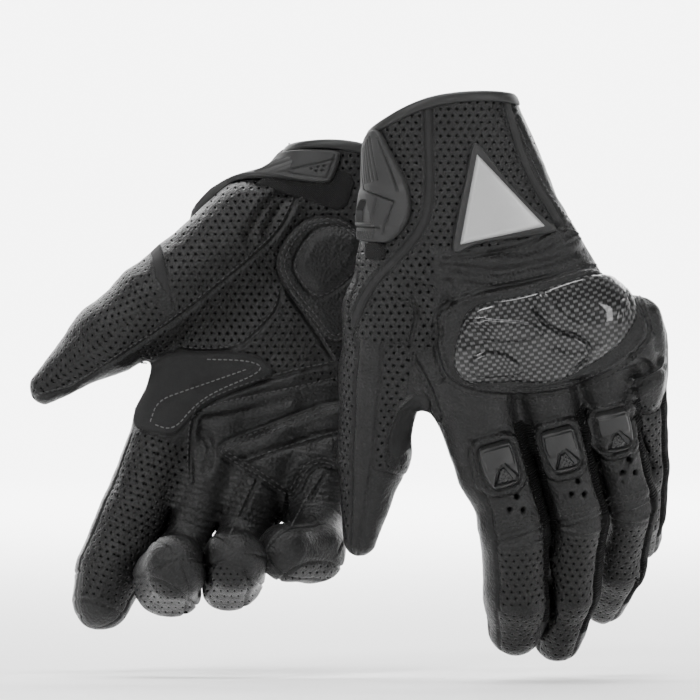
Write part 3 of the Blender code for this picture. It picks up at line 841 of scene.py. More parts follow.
def joint_blend(finger):
    j = finger.joint
    way = finger.direction(j - 1) + finger.direction(j)
    way = way / np.linalg.norm(way)
    return finger.points[j] - way * 7.0, finger.points[j] + way * 7.0, way


# Finishes. Every pattern is worked out in the shader, in millimetres.

class Nodes:
    """Short ways to add and join shader nodes."""

    def __init__(self, name):
        self.material = bpy.data.materials.new(name)
        self.material.use_nodes = True
        self.tree = self.material.node_tree
        self.shader = self.tree.nodes["Principled BSDF"]

    def add(self, kind, **settings):
        node = self.tree.nodes.new(kind)
        for key, value in settings.items():
            setattr(node, key, value)
        return node

    def join(self, socket, value):
        if hasattr(value, "is_output"):
            self.tree.links.new(value, socket)
        else:
            socket.default_value = value

    def math(self, operation, a, b=0.0, c=0.0):
        node = self.add("ShaderNodeMath", operation=operation)
        self.join(node.inputs[0], a)
        self.join(node.inputs[1], b)
        if len(node.inputs) > 2:
            self.join(node.inputs[2], c)
        return node.outputs[0]

    def step(self, value, low, high):
        node = self.add("ShaderNodeMapRange", interpolation_type="SMOOTHSTEP")
        self.join(node.inputs["Value"], value)
        node.inputs["From Min"].default_value = low
        node.inputs["From Max"].default_value = high
        return node.outputs["Result"]

    def mix(self, share, a, b):
        return self.math("ADD", self.math("MULTIPLY", a, self.math("SUBTRACT", 1.0, share)),
                         self.math("MULTIPLY", b, share))

    def attribute(self, name, vector=False):
        node = self.add("ShaderNodeAttribute", attribute_name=name)
        return node.outputs["Vector" if vector else "Fac"]

    def place(self, per_mm=1.0):
        node = self.add("ShaderNodeTexCoord")
        scale = self.add("ShaderNodeVectorMath", operation="SCALE")
        self.join(scale.inputs[0], node.outputs["Object"])
        scale.inputs["Scale"].default_value = per_mm / MM
        return scale.outputs[0]

    def noise(self, vector, detail=2.0, roughness=0.5):
        node = self.add("ShaderNodeTexNoise")
        node.inputs["Scale"].default_value = 1.0
        node.inputs["Detail"].default_value = detail
        node.inputs["Roughness"].default_value = roughness
        self.join(node.inputs["Vector"], vector)
        return node.outputs[0]

    def cells(self, vector, feature="F1"):
        node = self.add("ShaderNodeTexVoronoi", feature=feature)
        node.inputs["Scale"].default_value = 1.0
        self.join(node.inputs["Vector"], vector)
        return node.outputs["Distance"]

    def grey(self, value):
        node = self.add("ShaderNodeCombineColor")
        for socket in node.inputs[:3]:
            self.join(socket, value)
        return node.outputs[0]

    def bump(self, height, depth_mm, strength=1.0):
        node = self.add("ShaderNodeBump")
        node.inputs["Distance"].default_value = depth_mm * MM
        node.inputs["Strength"].default_value = strength
        self.join(node.inputs["Height"], height)
        self.join(self.shader.inputs["Normal"], node.outputs[0])
        return node

    def finish(self, colour, roughness, **others):
        self.join(self.shader.inputs["Base Color"], colour)
        self.join(self.shader.inputs["Roughness"], roughness)
        for key, value in others.items():
            self.join(self.shader.inputs[key.replace("_", " ")], value)
        return self.material


HOLE_PITCH = 3.25  # across a row of perforations
HOLE_ROWS = 2.7  # between rows
HOLE_RADIUS = 0.33


def leather_finish():
    n = Nodes("glove_leather")
    flat = n.add("ShaderNodeSeparateXYZ")
    n.join(flat.inputs[0], n.attribute("grain", vector=True))
    u, v = flat.outputs[0], flat.outputs[1]
    row = n.math("DIVIDE", v, HOLE_ROWS)
    shift = n.math("MULTIPLY", n.math("MODULO", n.math("ABSOLUTE", n.math("FLOOR", row)), 2.0), 0.5)
    across = n.math("ADD", n.math("DIVIDE", u, HOLE_PITCH), shift)
    du = n.math("MULTIPLY", n.math("SUBTRACT", n.math("FRACT", across), 0.5), HOLE_PITCH)
    dv = n.math("MULTIPLY", n.math("SUBTRACT", n.math("FRACT", row), 0.5), HOLE_ROWS)
    radius = n.math("SQRT", n.math("ADD", n.math("MULTIPLY", du, du), n.math("MULTIPLY", dv, dv)))
    inside = n.math("SUBTRACT", 1.0, n.step(radius, HOLE_RADIUS * 0.75, HOLE_RADIUS * 1.25))
    dimple = n.math("SUBTRACT", 1.0, n.step(radius, HOLE_RADIUS * 0.7, HOLE_RADIUS * 2.4))
    perf = n.step(n.attribute("perf"), 0.45, 0.6)
    hole = n.math("MULTIPLY", inside, perf)
    dark = n.math("MAXIMUM", hole, n.attribute("dark"))
    rib = n.step(n.attribute("rib"), 0.4, 0.6)
    band = n.step(n.attribute("band"), 0.4, 0.6)
    suede = n.step(n.attribute("suede"), 0.4, 0.6)
    touch = n.step(n.attribute("touch"), 0.4, 0.6)
    mottle = n.noise(n.place(0.05), 3.0)
    pebble = n.cells(n.place(0.95), "SMOOTH_F1")
    fine = n.noise(n.place(2.6), 3.0, 0.6)
    grain = n.math("ADD", n.math("MULTIPLY", pebble, 0.75), n.math("MULTIPLY", fine, 0.5))
    nap = n.noise(n.place(4.5), 4.0, 0.7)
    ribs = n.math("SINE", n.math("MULTIPLY", v, math.tau / 1.15))
    weave = n.math("MULTIPLY", n.math("SINE", n.math("MULTIPLY", n.math("ADD", u, v), math.tau / 0.8)),
                   n.math("SINE", n.math("MULTIPLY", n.math("SUBTRACT", u, v), math.tau / 0.8)))
    height = n.mix(rib, grain, n.math("MULTIPLY", ribs, 0.9))
    height = n.mix(band, height, n.math("MULTIPLY", weave, 0.35))
    height = n.mix(suede, height, n.math("MULTIPLY", nap, 0.9))
    pit = n.math("MULTIPLY", n.math("MULTIPLY", dimple, perf), 2.0)
    height = n.math("SUBTRACT", n.math("SUBTRACT", height, pit), n.math("MULTIPLY", hole, 2.5))
    n.bump(height, 0.42, 1.0)
    base = n.math("ADD", 0.003, n.math("MULTIPLY", mottle, 0.004))
    base = n.mix(rib, base, 0.0035)
    base = n.mix(band, base, 0.017)
    base = n.mix(suede, base, n.math("MULTIPLY", nap, 0.045))
    base = n.mix(touch, base, 0.04)
    # Perforations and the holes marked dark are coloured near black with no shine. This is partly the dark lining seen
    # through them and partly painted shade inside them.
    base = n.mix(dark, base, 0.0008)
    rough = n.math("ADD", 0.25, n.math("MULTIPLY", fine, 0.16))
    rough = n.mix(rib, rough, 0.75)
    rough = n.mix(band, rough, 0.72)
    rough = n.mix(suede, rough, 0.95)
    shine = n.mix(dark, n.mix(suede, n.mix(rib, 0.22, 0.08), 0.08), 0.0)
    return n.finish(n.grey(base), rough, Specular_IOR_Level=shine)


def rubber_finish(name, colour, roughness=0.5):
    n = Nodes(name)
    fine = n.noise(n.place(3.5), 3.0, 0.6)
    n.bump(fine, 0.03, 0.7)
    return n.finish(n.grey(n.math("ADD", colour, n.math("MULTIPLY", fine, colour * 0.3))), roughness,
                    Specular_IOR_Level=0.3)


def fabric_finish(name, colour, pitch):
    n = Nodes(name)
    place = n.place()
    split_place = n.add("ShaderNodeSeparateXYZ")
    n.join(split_place.inputs[0], place)
    x, z = split_place.outputs[0], split_place.outputs[2]
    weave = n.math("MULTIPLY", n.math("SINE", n.math("MULTIPLY", x, math.tau / pitch)),
                   n.math("SINE", n.math("MULTIPLY", z, math.tau / pitch)))
    fuzz = n.noise(n.place(3.0), 4.0, 0.7)
    n.bump(n.math("ADD", n.math("MULTIPLY", weave, 0.5), fuzz), 0.25, 0.9)
    return n.finish(n.grey(n.math("MULTIPLY", fuzz, colour * 2)), 0.92, Specular_IOR_Level=0.15)


TOW = 1.5  # width of a tow of the carbon cloth


def carbon_finish():
    n = Nodes("carbon_twill")
    flat = n.add("ShaderNodeSeparateXYZ")
    n.join(flat.inputs[0], n.attribute("grain", vector=True))
    turn = math.radians(10.0)
    u = n.math("ADD", n.math("MULTIPLY", flat.outputs[0], math.cos(turn) / TOW),
               n.math("MULTIPLY", flat.outputs[1], math.sin(turn) / TOW))
    v = n.math("SUBTRACT", n.math("MULTIPLY", flat.outputs[1], math.cos(turn) / TOW),
               n.math("MULTIPLY", flat.outputs[0], math.sin(turn) / TOW))
    cell = n.math("ADD", n.math("FLOOR", u), n.math("FLOOR", v))
    way = n.math("GREATER_THAN", n.math("MODULO", n.math("ABSOLUTE", cell), 2.0), 0.5)
    fu, fv = n.math("SUBTRACT", n.math("FRACT", u), 0.5), n.math("SUBTRACT", n.math("FRACT", v), 0.5)
    crown_u = n.math("SUBTRACT", 1.0, n.math("MULTIPLY", n.math("MULTIPLY", fu, fu), 3.6))
    crown_v = n.math("SUBTRACT", 1.0, n.math("MULTIPLY", n.math("MULTIPLY", fv, fv), 3.6))
    # Painted highlight: each tow is coloured brightest along its middle, where its rounded top would catch the light.
    tow_glint = n.mix(way, crown_u, crown_v)
    threads = n.mix(way, n.math("SINE", n.math("MULTIPLY", fv, 30.0)), n.math("SINE", n.math("MULTIPLY", fu, 30.0)))
    height = n.math("ADD", n.mix(way, crown_v, crown_u), n.math("MULTIPLY", threads, 0.05))
    n.bump(height, 0.22, 0.8)
    # Painted reflection: the tows of one direction are coloured far lighter than those of the other. This stands in
    # for the glints of light off the fibres of the black cloth.
    base = n.math("MULTIPLY", n.math("POWER", tow_glint, 2.0), n.mix(way, 0.001, 0.06))
    material = n.finish(n.grey(n.math("ADD", base, 0.003)), n.mix(way, 0.45, 0.28), Specular_IOR_Level=0.1,
                        Coat_Weight=0.5, Coat_Roughness=0.02)
    return material


def silver_finish():
    n = Nodes("silver_plate")
    fine = n.noise(n.place(4.0), 3.0, 0.6)
    n.bump(fine, 0.02, 0.6)
    return n.finish(n.grey(n.math("ADD", 0.27, n.math("MULTIPLY", fine, 0.08))), 0.4, Metallic=0.3)


MATERIALS = {
    "leather": leather_finish(),
    "rubber": rubber_finish("moulded_rubber", 0.013, 0.6),
    "armour": rubber_finish("armour_rubber", 0.010, 0.4),
    "carbon": carbon_finish(),
    "silver": silver_finish(),
    "lining": fabric_finish("lining_cloth", 0.012, 1.2),
    "webbing": fabric_finish("webbing", 0.010, 0.9),
    "thread": rubber_finish("thread", 0.028, 0.6),
    "dark_thread": rubber_finish("dark_thread", 0.008, 0.55),
    "pale_thread": rubber_finish("pale_thread", 0.075, 0.6),
    "binding": rubber_finish("binding_leather", 0.007, 0.5),
    "touch": fabric_finish("touch_cloth", 0.055, 0.7),
}


def add_piece(name, mesh, material, nodes, body=None, blended=None):
    """An object that stands for those CAD nodes, and rides a body, or keeps its place with its transform applied when
    a blend between two is given.
    """
    mesh.materials.clear()
    mesh.materials.append(MATERIALS[material])
    obj = bpy.data.objects.new(name, mesh)
    bpy.context.scene.collection.objects.link(obj)
    if blended:
        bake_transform(obj)
    else:
        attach(obj, body)
    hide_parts(*nodes)
    return obj


class Skin:
    """One glove's skin, plain and embossed, to set other pieces on."""

    def __init__(self, side):
        self.side = side
        self.glove = GLOVES[side]
        plain, self.quads = glove_skin(self.glove)
        _, _, x, _, width, _ = self.glove.locate(plain)
        below = np.maximum((self.glove.centres[0] - plain) @ -self.glove.at(np.zeros(1))[2][0], 0.0)
        ease = np.clip(1 - below / CUFF_EASE, 0.0, 1.0) ** 2
        plain = plain + self.glove.at(np.zeros(1))[2][0] * (cuff_drop(x / width) * ease)[:, None]
        self.plain = BVHTree.FromPolygons([tuple(p) for p in plain], self.quads.tolist())
        self.verts, self.masks, self.grain, self.nearest, self.chains = emboss(self.glove, plain, self.quads)
        self.normals = vertex_normals(self.verts, self.quads)
        self.tree = BVHTree.FromPolygons([tuple(p) for p in self.verts], self.quads.tolist())

    def fall(self, flat, back, plain=False):
        """Points and outward directions of the skin in front of those plane coordinates of this glove."""
        way = Vector((0, self.glove.palm if back else -self.glove.palm, 0))
        tree = self.plain if plain else self.tree
        points, outs = np.zeros((len(flat), 3)), np.zeros((len(flat), 3))
        middle = self.glove.centres[2][1]
        for i, (x, z) in enumerate(flat):
            start = Vector((x, middle, z)) - way * SKIN_DROP
            hit, normal, _, _ = tree.ray_cast(start, way)
            if hit is None:
                hit, normal, _, _ = tree.find_nearest(Vector((x, middle - way.y * 8.0, z)))
            if normal.dot(way) > 0:
                normal = -normal
            points[i], outs[i] = hit, normal
        return points, outs

    def onto(self, centres, ways, plain=False):
        """Points and outward directions of the skin, seen from outside along those directions."""
        tree = self.plain if plain else self.tree
        points, outs = np.zeros((len(centres), 3)), np.zeros((len(centres), 3))
        for i, (c, w) in enumerate(zip(centres, ways)):
            way = Vector(w)
            hit, normal, _, _ = tree.ray_cast(Vector(c) + way * FINGER_DROP, -way, FINGER_REACH)
            if hit is None:
                hit, normal = Vector(c), way
            if normal.dot(way) < 0:
                normal = -normal
            points[i], outs[i] = hit, normal
        return points, outs


PANELS = (  # what is cut out of the palm: name, outline, slot, CAD node, fill
    ("heel_padding", HEEL_PAD, "leather", "heel_pad", 0.8),
    ("palm_padding", PALM_PAD, "leather", "palm_pad", 0.8),
    ("crotch_suede", CROTCH, "suede", "crotch_patch", None),
)


def skin_pieces(skin):
    """The leather, cut into the back, the palm with its pads, and the two moving sections of each finger."""
    glove, side = skin.glove, skin.side
    piece = split(glove, skin.verts, skin.quads, skin.nearest, skin.chains)
    centre = skin.verts[skin.quads].mean(1)
    hand = f"{side}_hand"
    pieces = [("hand_back", "mesh_leather", "back_shell", hand, None),
              ("hand_palm", "leather", "palm_shell", hand, None)]
    for name in NAMES:
        finger = glove.fingers[name]
        base = "base" if name == "thumb" else "proximal"
        middle, end = f"{side}_{name}_{base}", f"{side}_{name}_end"
        start, stop, _ = finger_blend(finger)
        pieces.append((f"{name}_{base}_skin", "mesh_leather", f"{name}_{base}", None,
                       (hand, middle, tuple(start * MM), tuple(stop * MM))))
        start, stop, _ = joint_blend(finger)
        tip_slot = "leather" if name == "thumb" else "mesh_leather"
        pieces.append((f"{name}_tip_skin", tip_slot, f"{name}_tip", None,
                       (middle, end, tuple(start * MM), tuple(stop * MM))))
    flat = to_reference(glove, centre, False)
    for name, outline, cad_slot, node, _ in PANELS:
        within = inside_distance(flat, rounded(outline, closed=True)) > 0
        piece = np.where((piece == 1) & within, len(pieces), piece)
        pieces.append((name, cad_slot, node, hand, None))
    touch = len(pieces)
    piece = np.where((piece == 3) & (skin.masks["touch"][skin.quads].mean(1) > 0.5), touch, piece)
    pieces.append(("index_touch", "touch", "index_touch_patch", f"{side}_index_end", None))
    skin.piece, skin.pieces = piece, pieces
    for i, (label, cad_slot, node, body, blended) in enumerate(pieces):
        quads = skin.quads[piece == i]
        if len(quads) == 0:
            continue
        used = np.unique(quads)
        index = np.zeros(len(skin.verts), np.int64)
        index[used] = np.arange(len(used))
        mesh = mesh_of(f"{side}_{label}", skin.verts[used], index[quads])
        for key, value in skin.masks.items():
            mesh.attributes.new(key, "FLOAT", "POINT").data.foreach_set("value", value[used].astype(np.float32))
        grain = np.zeros((len(used), 3), np.float32)
        grain[:, :2] = skin.grain[used]
        mesh.attributes.new("grain", "FLOAT_VECTOR", "POINT").data.foreach_set("vector", grain.ravel())
        mesh.normals_split_custom_set_from_vertices(skin.normals[used].tolist())
        made = add_piece(f"{side}_{label}", mesh, "leather", [f"{side}_{node}"], body, blended)


def resample(line, count, closed=True):
    line = np.array(line, float)
    if closed:
        line = np.concatenate([line, line[:1]])
    run = np.concatenate([[0], np.cumsum(np.linalg.norm(np.diff(line, axis=0), axis=1))])
    at = np.linspace(0, run[-1], count, endpoint=not closed)
    return np.stack([np.interp(at, run, line[:, i]) for i in range(line.shape[1])], 1)


def relief(name, outline, settle, height, sink=0.6, rings=10, spokes=120, centre=None, edge=0.6):
    """A plate with a shaped top. settle gives points and directions on what it lies on, height its top in mm."""
    border = resample(outline, spokes)
    middle = border.mean(0) if centre is None else np.array(centre, float)
    shares = 1 - (1 - np.linspace(0.03, 1.0, rings)) ** 1.25
    flat = np.concatenate([middle + (border - middle) * s for s in shares])
    base, out = settle(flat)
    depth = inside_distance(flat, border)
    rise = height(flat, depth)
    ease = np.sqrt(np.clip(1 - (1 - np.clip(depth / edge, 0, 1)) ** 2, 0, 1))
    top = base + out * (rise * (0.35 + 0.65 * ease))[:, None]
    last = slice(len(flat) - spokes, len(flat))
    foot = base[last] - out[last] * sink
    verts = np.concatenate([top, foot])
    faces = []
    for r in range(rings):
        for s in range(spokes):
            t = (s + 1) % spokes
            faces.append((r * spokes + s, r * spokes + t, (r + 1) * spokes + t, (r + 1) * spokes + s))
    faces = np.array(faces)
    area = np.cross(verts[faces[0, 2]] - verts[faces[0, 0]], verts[faces[0, 3]] - verts[faces[0, 1]])
    if np.dot(area, out[0]) < 0:
        faces = faces[:, ::-1]
    uv = np.concatenate([flat, border])
    return Part(name, verts, faces, [tuple(range(spokes)), tuple(range(rings * spokes, (rings + 1) * spokes))], uv)


class Part:
    """Vertices in mm, quads, caps and pattern coordinates, to be joined and made into a mesh."""

    def __init__(self, name, verts, faces, caps=(), uv=None):
        self.name, self.verts, self.faces, self.caps = name, verts, faces, list(caps)
        self.uv = uv if uv is not None else np.zeros((len(verts), 2))

    def mesh(self, sharp=50.0):
        mesh = bpy.data.meshes.new(self.name)
        mesh.from_pydata((self.verts * MM).tolist(), [], self.faces.tolist() + [list(c) for c in self.caps])
        data = np.zeros((len(self.verts), 3), np.float32)
        data[:, :2] = self.uv
        mesh.attributes.new("grain", "FLOAT_VECTOR", "POINT").data.foreach_set("vector", data.ravel())
        fix_outward(mesh)
        mesh.shade_smooth()
        mesh.set_sharp_from_angle(angle=math.radians(sharp))
        return mesh


def fix_outward(mesh):
    made = bmesh.new()
    made.from_mesh(mesh)
    bmesh.ops.recalc_face_normals(made, faces=made.faces[:])
    made.to_mesh(mesh)
    made.free()
    mesh.update()


def joined(name, parts):
    verts, faces, caps, uv, shift = [], [], [], [], 0
    for part in parts:
        verts.append(part.verts)
        faces.append(part.faces + shift)
        caps += [tuple(i + shift for i in cap) for cap in part.caps]
        uv.append(part.uv)
        shift += len(part.verts)
    return Part(name, np.concatenate(verts), np.concatenate(faces), caps, np.concatenate(uv))


def tube(path, radius, name="tube", sides=10, closed=False, flatten=1.0, ups=None):
    """A round or flattened cord along a path of points in mm."""
    path = np.array(path, float)
    count = len(path)
    if closed:
        way = np.roll(path, -1, 0) - np.roll(path, 1, 0)
    else:
        way = np.gradient(path, axis=0)
    way /= np.linalg.norm(way, axis=1)[:, None]
    up = np.array([0.0, 1.0, 0.0]) if ups is None else ups
    side = np.cross(way, up)
    side /= np.linalg.norm(side, axis=1)[:, None]
    normal = np.cross(side, way)
    turns = np.linspace(0, math.tau, sides, endpoint=False)
    ring = np.cos(turns)[None, :, None] * side[:, None] + np.sin(turns)[None, :, None] * normal[:, None] * flatten
    verts = (path[:, None] + ring * radius).reshape(-1, 3)
    faces = []
    for i in range(count if closed else count - 1):
        j = (i + 1) % count
        for s in range(sides):
            t = (s + 1) % sides
            faces.append((i * sides + s, i * sides + t, j * sides + t, j * sides + s))
    caps = [] if closed else [tuple(range(sides)), tuple(range((count - 1) * sides, count * sides))]
    return Part(name, verts, np.array(faces), caps)


def plane_settle(skin, back):
    """For a plate that is drawn in the plane coordinates of one side of the hand."""
    def settle(flat):
        return skin.fall(from_reference(skin.glove, flat, back), back, plain=True)
    return settle


def wrap(skin, turn, t, plain=True):
    """Points and outward directions of the skin, at degrees round the cuff and mm from its mouth."""
    glove = skin.glove
    run = np.concatenate([[0], np.cumsum(np.linalg.norm(np.diff(glove.centres, axis=0), axis=1))])
    along = np.interp(np.maximum(t, 0.0), run, np.linspace(0, 1, len(run)))
    centre, across, down, width, depth = glove.at(along)
    turn = np.radians(turn)
    rim = cuff_drop(np.cos(turn)) + 1.2
    back = np.array([0.0, -glove.palm, 0.0])
    way = across * (width * np.cos(turn))[:, None] + back * (depth * np.sin(turn))[:, None]
    way /= np.linalg.norm(way, axis=1)[:, None]
    tree = skin.plain if plain else skin.tree
    points, outs = np.zeros((len(t), 3)), np.zeros((len(t), 3))
    for i in range(len(t)):
        short = max(rim[i] - t[i], 0.0)
        lifted = centre[i] + down[i] * (max(rim[i], t[i]) - max(t[i], 0.0))
        hit, normal, _, _ = tree.ray_cast(Vector(lifted) + Vector(way[i]) * 75.0, -Vector(way[i]), 80.0)
        if hit is None:
            hit, normal = Vector(centre[i]) + Vector(way[i]) * depth[i], Vector(way[i])
        if normal.dot(Vector(way[i])) < 0:
            normal = -normal
        points[i] = np.array(hit) - down[i] * short
        outs[i] = normal
    return points, outs


ARC = 30.0  # mm of the cuff's girth to a radian, for what is drawn round it


def strap_settle(skin):
    def settle(flat):
        return wrap(skin, 180.0 - np.degrees(flat[:, 0] / ARC), flat[:, 1])
    return settle


def box_share(flat, corners, edge):
    """1 inside a closed line, falling to 0 over that many mm outside it."""
    return smooth(inside_distance(flat, rounded(corners, closed=True, rounds=1)) / edge + 0.5)


def guard_height(flat, depth):
    """The moulded guard: a dome with raised blocks, ridges and a groove across it."""
    dome = 2.2 + 3.4 * (1 - (1 - np.clip(depth / 13.0, 0, 1)) ** 2.2)
    rise = dome * np.ones(len(flat))
    blocks = GUARD_BLOCKS
    for corners, height in blocks:
        rise += height * box_share(flat, corners, 1.1)
    for line, height, width in GUARD_RIDGES:
        rise += height * np.exp(-((line_distance(flat, rounded(line, rounds=1)) / width) ** 2))
    return rise


GUARD_BLOCKS = (  # outline and height
    (((12, -83.5), (36.5, -85.5), (41.5, -92.5), (10, -93)), 1.7),
    (((14, -97), (30, -98), (34, -107), (11, -107.5)), 1.7),
    (((70, -75), (75, -82), (74, -90), (69, -93)), 1.2),
)
GUARD_RIDGES = (  # line, height, half width
    (((41, -74), (47, -83), (55, -87)), 1.2, 1.2),
    (((37, -80), (42, -88), (57, -91.5), (60, -98), (51, -106)), -1.5, 0.8),
    (((44, -97), (56, -99), (64, -94)), 1.0, 1.3),
)


def plate_height(height, edge=0.8, bevel=0.7):
    def rise(flat, depth):
        return height - bevel * (1 - smooth(depth / edge))
    return rise


def shrunk(line, by):
    """A closed line drawn in by that many mm."""
    line = np.array(line, float)
    middle = line.mean(0)
    ways = np.roll(line, -1, 0) - np.roll(line, 1, 0)
    normals = np.stack([ways[:, 1], -ways[:, 0]], 1)
    normals /= np.maximum(np.linalg.norm(normals, axis=1), 1e-9)[:, None]
    turn = np.sign(np.sum((line - middle) * normals, 1).sum())
    return line - normals * turn * by


def plates(skin):
    side = skin.side
    back = plane_settle(skin, True)
    hand = f"{side}_hand"
    count = ((64, 260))
    guard = relief(f"{side}_guard", rounded(GUARD, closed=True), back, guard_height, 1.2, count[0], count[1],
                   centre=(42, -89), edge=2.0)
    add_piece(f"{side}_guard_shell", guard.mesh(60.0), "carbon", [f"{side}_knuckle_guard"], body=hand)
    border = rounded(BADGE_BASE, closed=True, rounds=2)

    def base_height(flat, depth):
        return 1.3 + 0.5 * np.exp(-(((depth - 0.8) / 0.55) ** 2)) - 0.4 * (1 - smooth(depth / 0.6))
    base = relief(f"{side}_badge_base", border, back, base_height, 1.4, 22, 150, centre=(19, -42))
    add_piece(f"{side}_badge_rubber", base.mesh(), "rubber", [f"{side}_badge_base"], body=hand)
    plate = relief(f"{side}_badge_silver", resample(BADGE, 180), back, plate_height(2.9, 1.6, 0.8), -0.9, 14, 180,
                   edge=1.6)
    add_piece(f"{side}_badge_silver", plate.mesh(), "silver", [f"{side}_badge_plate"], body=hand)


BADGE = ((14.2, -19.0), (41.6, -48.3), (7.4, -55.6))

STRAP_BASE = ((17, 4.5), (20, 6), (23.5, 13), (28, 25), (30.5, 36), (30, 44), (28, 50), (23.5, 56.5), (21, 58),
              (7, 57.5), (4, 55.5), (2, 49), (-4, 44), (-7, 36), (-7, 24), (-4, 16), (2, 13), (5, 10), (12, 6))
STRAP_GROOVES = tuple(
    (((8 + 1.9 * k, 13 - 1.2 * k), (11 + 2.0 * k, 29 - 0.3 * k)), -0.75, 0.36) for k in range(5)
) + (
    (((4, 14), (7, 26), (10, 32), (17, 34.5), (25.5, 38.5), (21, 53)), -0.9, 0.42),
    (((20, 9), (24, 22), (26.5, 34)), -0.8, 0.4),
    (((19, 37), (17, 46), (17.5, 52)), -0.6, 0.4),
    (((1, 50.5), (20, 50.5)), -0.8, 0.45),
)
STRAP_SLOT = ((1, 42), (8, 37.5), (13, 37.5), (16.5, 48), (3, 48))
STRAP_GRIP = ((5, 52.5), (17.5, 52.5), (17, 56), (7, 56))
STRAP_TAB = ((0.5, 15), (-3, 13), (-8, 10.5), (-12, 8.5), (-20, 6), (-30, 3), (-37, 1.5), (-39, 3), (-39.5, 14),
             (-37, 16), (-24, 19), (-14, 23), (-7, 28), (-2, 34), (0.5, 35.5))
STRAP_TAB_GROOVES = (
    (((-13, 20.5), (-20, 16.5), (-36.8, 5.5)), -0.6, 0.4),
    (((-36.8, 3.5), (-37.2, 13.5), (-34, 14.2), (-22, 16.6), (-13, 20.5)), -0.5, 0.4),
)
STRAP_DOTS = ((-32.6, 10.0), (-32.6, 12.0), (-34.6, 9.0), (-34.6, 11.0), (-30.6, 11.6))
def strap_base_height(flat, depth):
    rise = 3.0 - 0.8 * (1 - smooth(depth / 0.9))
    rise += 0.7 * smooth((flat[:, 1] - 30.0) / 5.0) * smooth((52.0 - flat[:, 1]) / 3.0)
    for line, height, width in STRAP_GROOVES:
        rise += height * np.exp(-((line_distance(flat, np.array(line, float)) / width) ** 2))
    slot = inside_distance(flat, np.array(STRAP_SLOT, float))
    rise -= 2.7 * smooth(slot / 0.6 + 0.6)
    ribs = 0.4 * np.sin((flat[:, 0] - 0.45 * flat[:, 1]) * 4.2)
    return rise + ribs * smooth(inside_distance(flat, np.array(STRAP_GRIP, float)) / 0.5 + 0.5)


def strap_tab_height(flat, depth):
    rise = 2.9 - 0.8 * (1 - smooth(depth / 1.0))
    for line, height, width in STRAP_TAB_GROOVES:
        rise += height * np.exp(-((line_distance(flat, np.array(line, float)) / width) ** 2))
    for u, t in STRAP_DOTS:
        rise -= 0.8 * smooth((0.75 - np.hypot(flat[:, 0] - u, flat[:, 1] - t)) / 0.4)
    return rise


def box_outline(u0, u1, t0, t1, corner=3.0):
    return ((u0 + corner, t0), (u1 - corner, t0), (u1, t0 + corner), (u1, t1 - corner), (u1 - corner, t1),
            (u0 + corner, t1), (u0, t1 - corner), (u0, t0 + corner))


def strap_pieces(skin):
    side, settle = skin.side, strap_settle(skin)
    hand, strap = f"{side}_hand", f"{side}_strap"
    fine = ((72, 300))
    base = relief(f"{side}_strap_base", rounded(STRAP_BASE, closed=True, rounds=1), settle, strap_base_height,
                  0.8, fine[0], fine[1])
    add_piece(f"{side}_strap_moulding", base.mesh(60.0), "rubber", [f"{side}_strap_base"], body=hand)
    tab = relief(f"{side}_strap_tab", rounded(STRAP_TAB, closed=True, rounds=2), settle, strap_tab_height,
                 -1.75, fine[0], fine[1])
    add_piece(f"{side}_strap_flap", tab.mesh(60.0), "rubber", [f"{side}_strap_tab"], body=strap)
    hook = relief(f"{side}_hook_patch", box_outline(-36, -20, 8, 15), settle, plate_height(1.65, 0.6, 0.2), -1.05,
                  10, 90)
    add_piece(f"{side}_hooks", hook.mesh(), "webbing", [f"{side}_strap_hook_patch"], body=strap)
    loop = relief(f"{side}_loop_patch", box_outline(-48, -16, 9, 25), settle, plate_height(0.95, 0.6, 0.3), 0.8,
                  12, 120)
    add_piece(f"{side}_loops", loop.mesh(), "webbing", [f"{side}_loop_patch"], body=hand)
    pull = relief(f"{side}_pull_loop", box_outline(11.5, 20.5, 57, 66.5, 2.0), settle,
                  plate_height(2.4, 1.4, 1.2), 0.6,
                  16, 90)
    add_piece(f"{side}_pull_tab", pull.mesh(), "webbing", [f"{side}_pull_loop"], body=hand)


BINDING = ((0.2, 3.6), (0.8, 3.4), (1.15, 2.9), (1.35, 1.7), (1.15, 0.4), (0.5, -0.5), (-0.4, -0.8), (-1.3, -0.4),
           (-1.8, 0.6), (-1.9, 2.0), (-1.6, 3.0), (-0.9, 3.4))  # lift and mm from the mouth, round the section
LINING_LIFT = -2.3


def ring_of(skin, section, closed, name, turns=120):
    angles = np.linspace(0, 360, turns, endpoint=False)
    rows = []
    for lift, t in section:
        points, outs = wrap(skin, angles, cuff_drop(np.cos(np.radians(angles))) + t)
        flat = outs.copy()
        down = skin.glove.at(np.zeros(1))[2][0]
        flat -= np.outer(flat @ down, down)
        flat /= np.linalg.norm(flat, axis=1)[:, None]
        rows.append(points + flat * lift)
    verts = np.concatenate(rows)
    faces = []
    for r in range(len(section) if closed else len(section) - 1):
        q = (r + 1) % len(section)
        for s in range(turns):
            w = (s + 1) % turns
            faces.append((r * turns + s, r * turns + w, q * turns + w, q * turns + s))
    grain = np.tile(np.stack([angles * 0.5, angles * 0], 1), (len(section), 1))
    caps = [] if closed else [tuple(range((len(section) - 1) * turns, len(section) * turns))]
    return Part(name, verts, np.array(faces), caps, grain)


def cuff_pieces(skin):
    side = skin.side
    binding = ring_of(skin, BINDING, True, f"{side}_binding")
    add_piece(f"{side}_cuff_piping", binding.mesh(), "binding", [f"{side}_cuff_binding"],
              body=f"{side}_hand")
    section = [(LINING_LIFT, t) for t in (1.0, 6, 14, 22, 32, 44, 56, 70)]
    section += [(LINING_LIFT - 3, 78), (LINING_LIFT - 8, 84), (LINING_LIFT - 14, 86)]
    lining = ring_of(skin, section, False, f"{side}_lining", 90)
    mesh = lining.mesh()
    add_piece(f"{side}_inner_cloth", mesh, "lining", [f"{side}_back_shell"], body=f"{side}_hand")


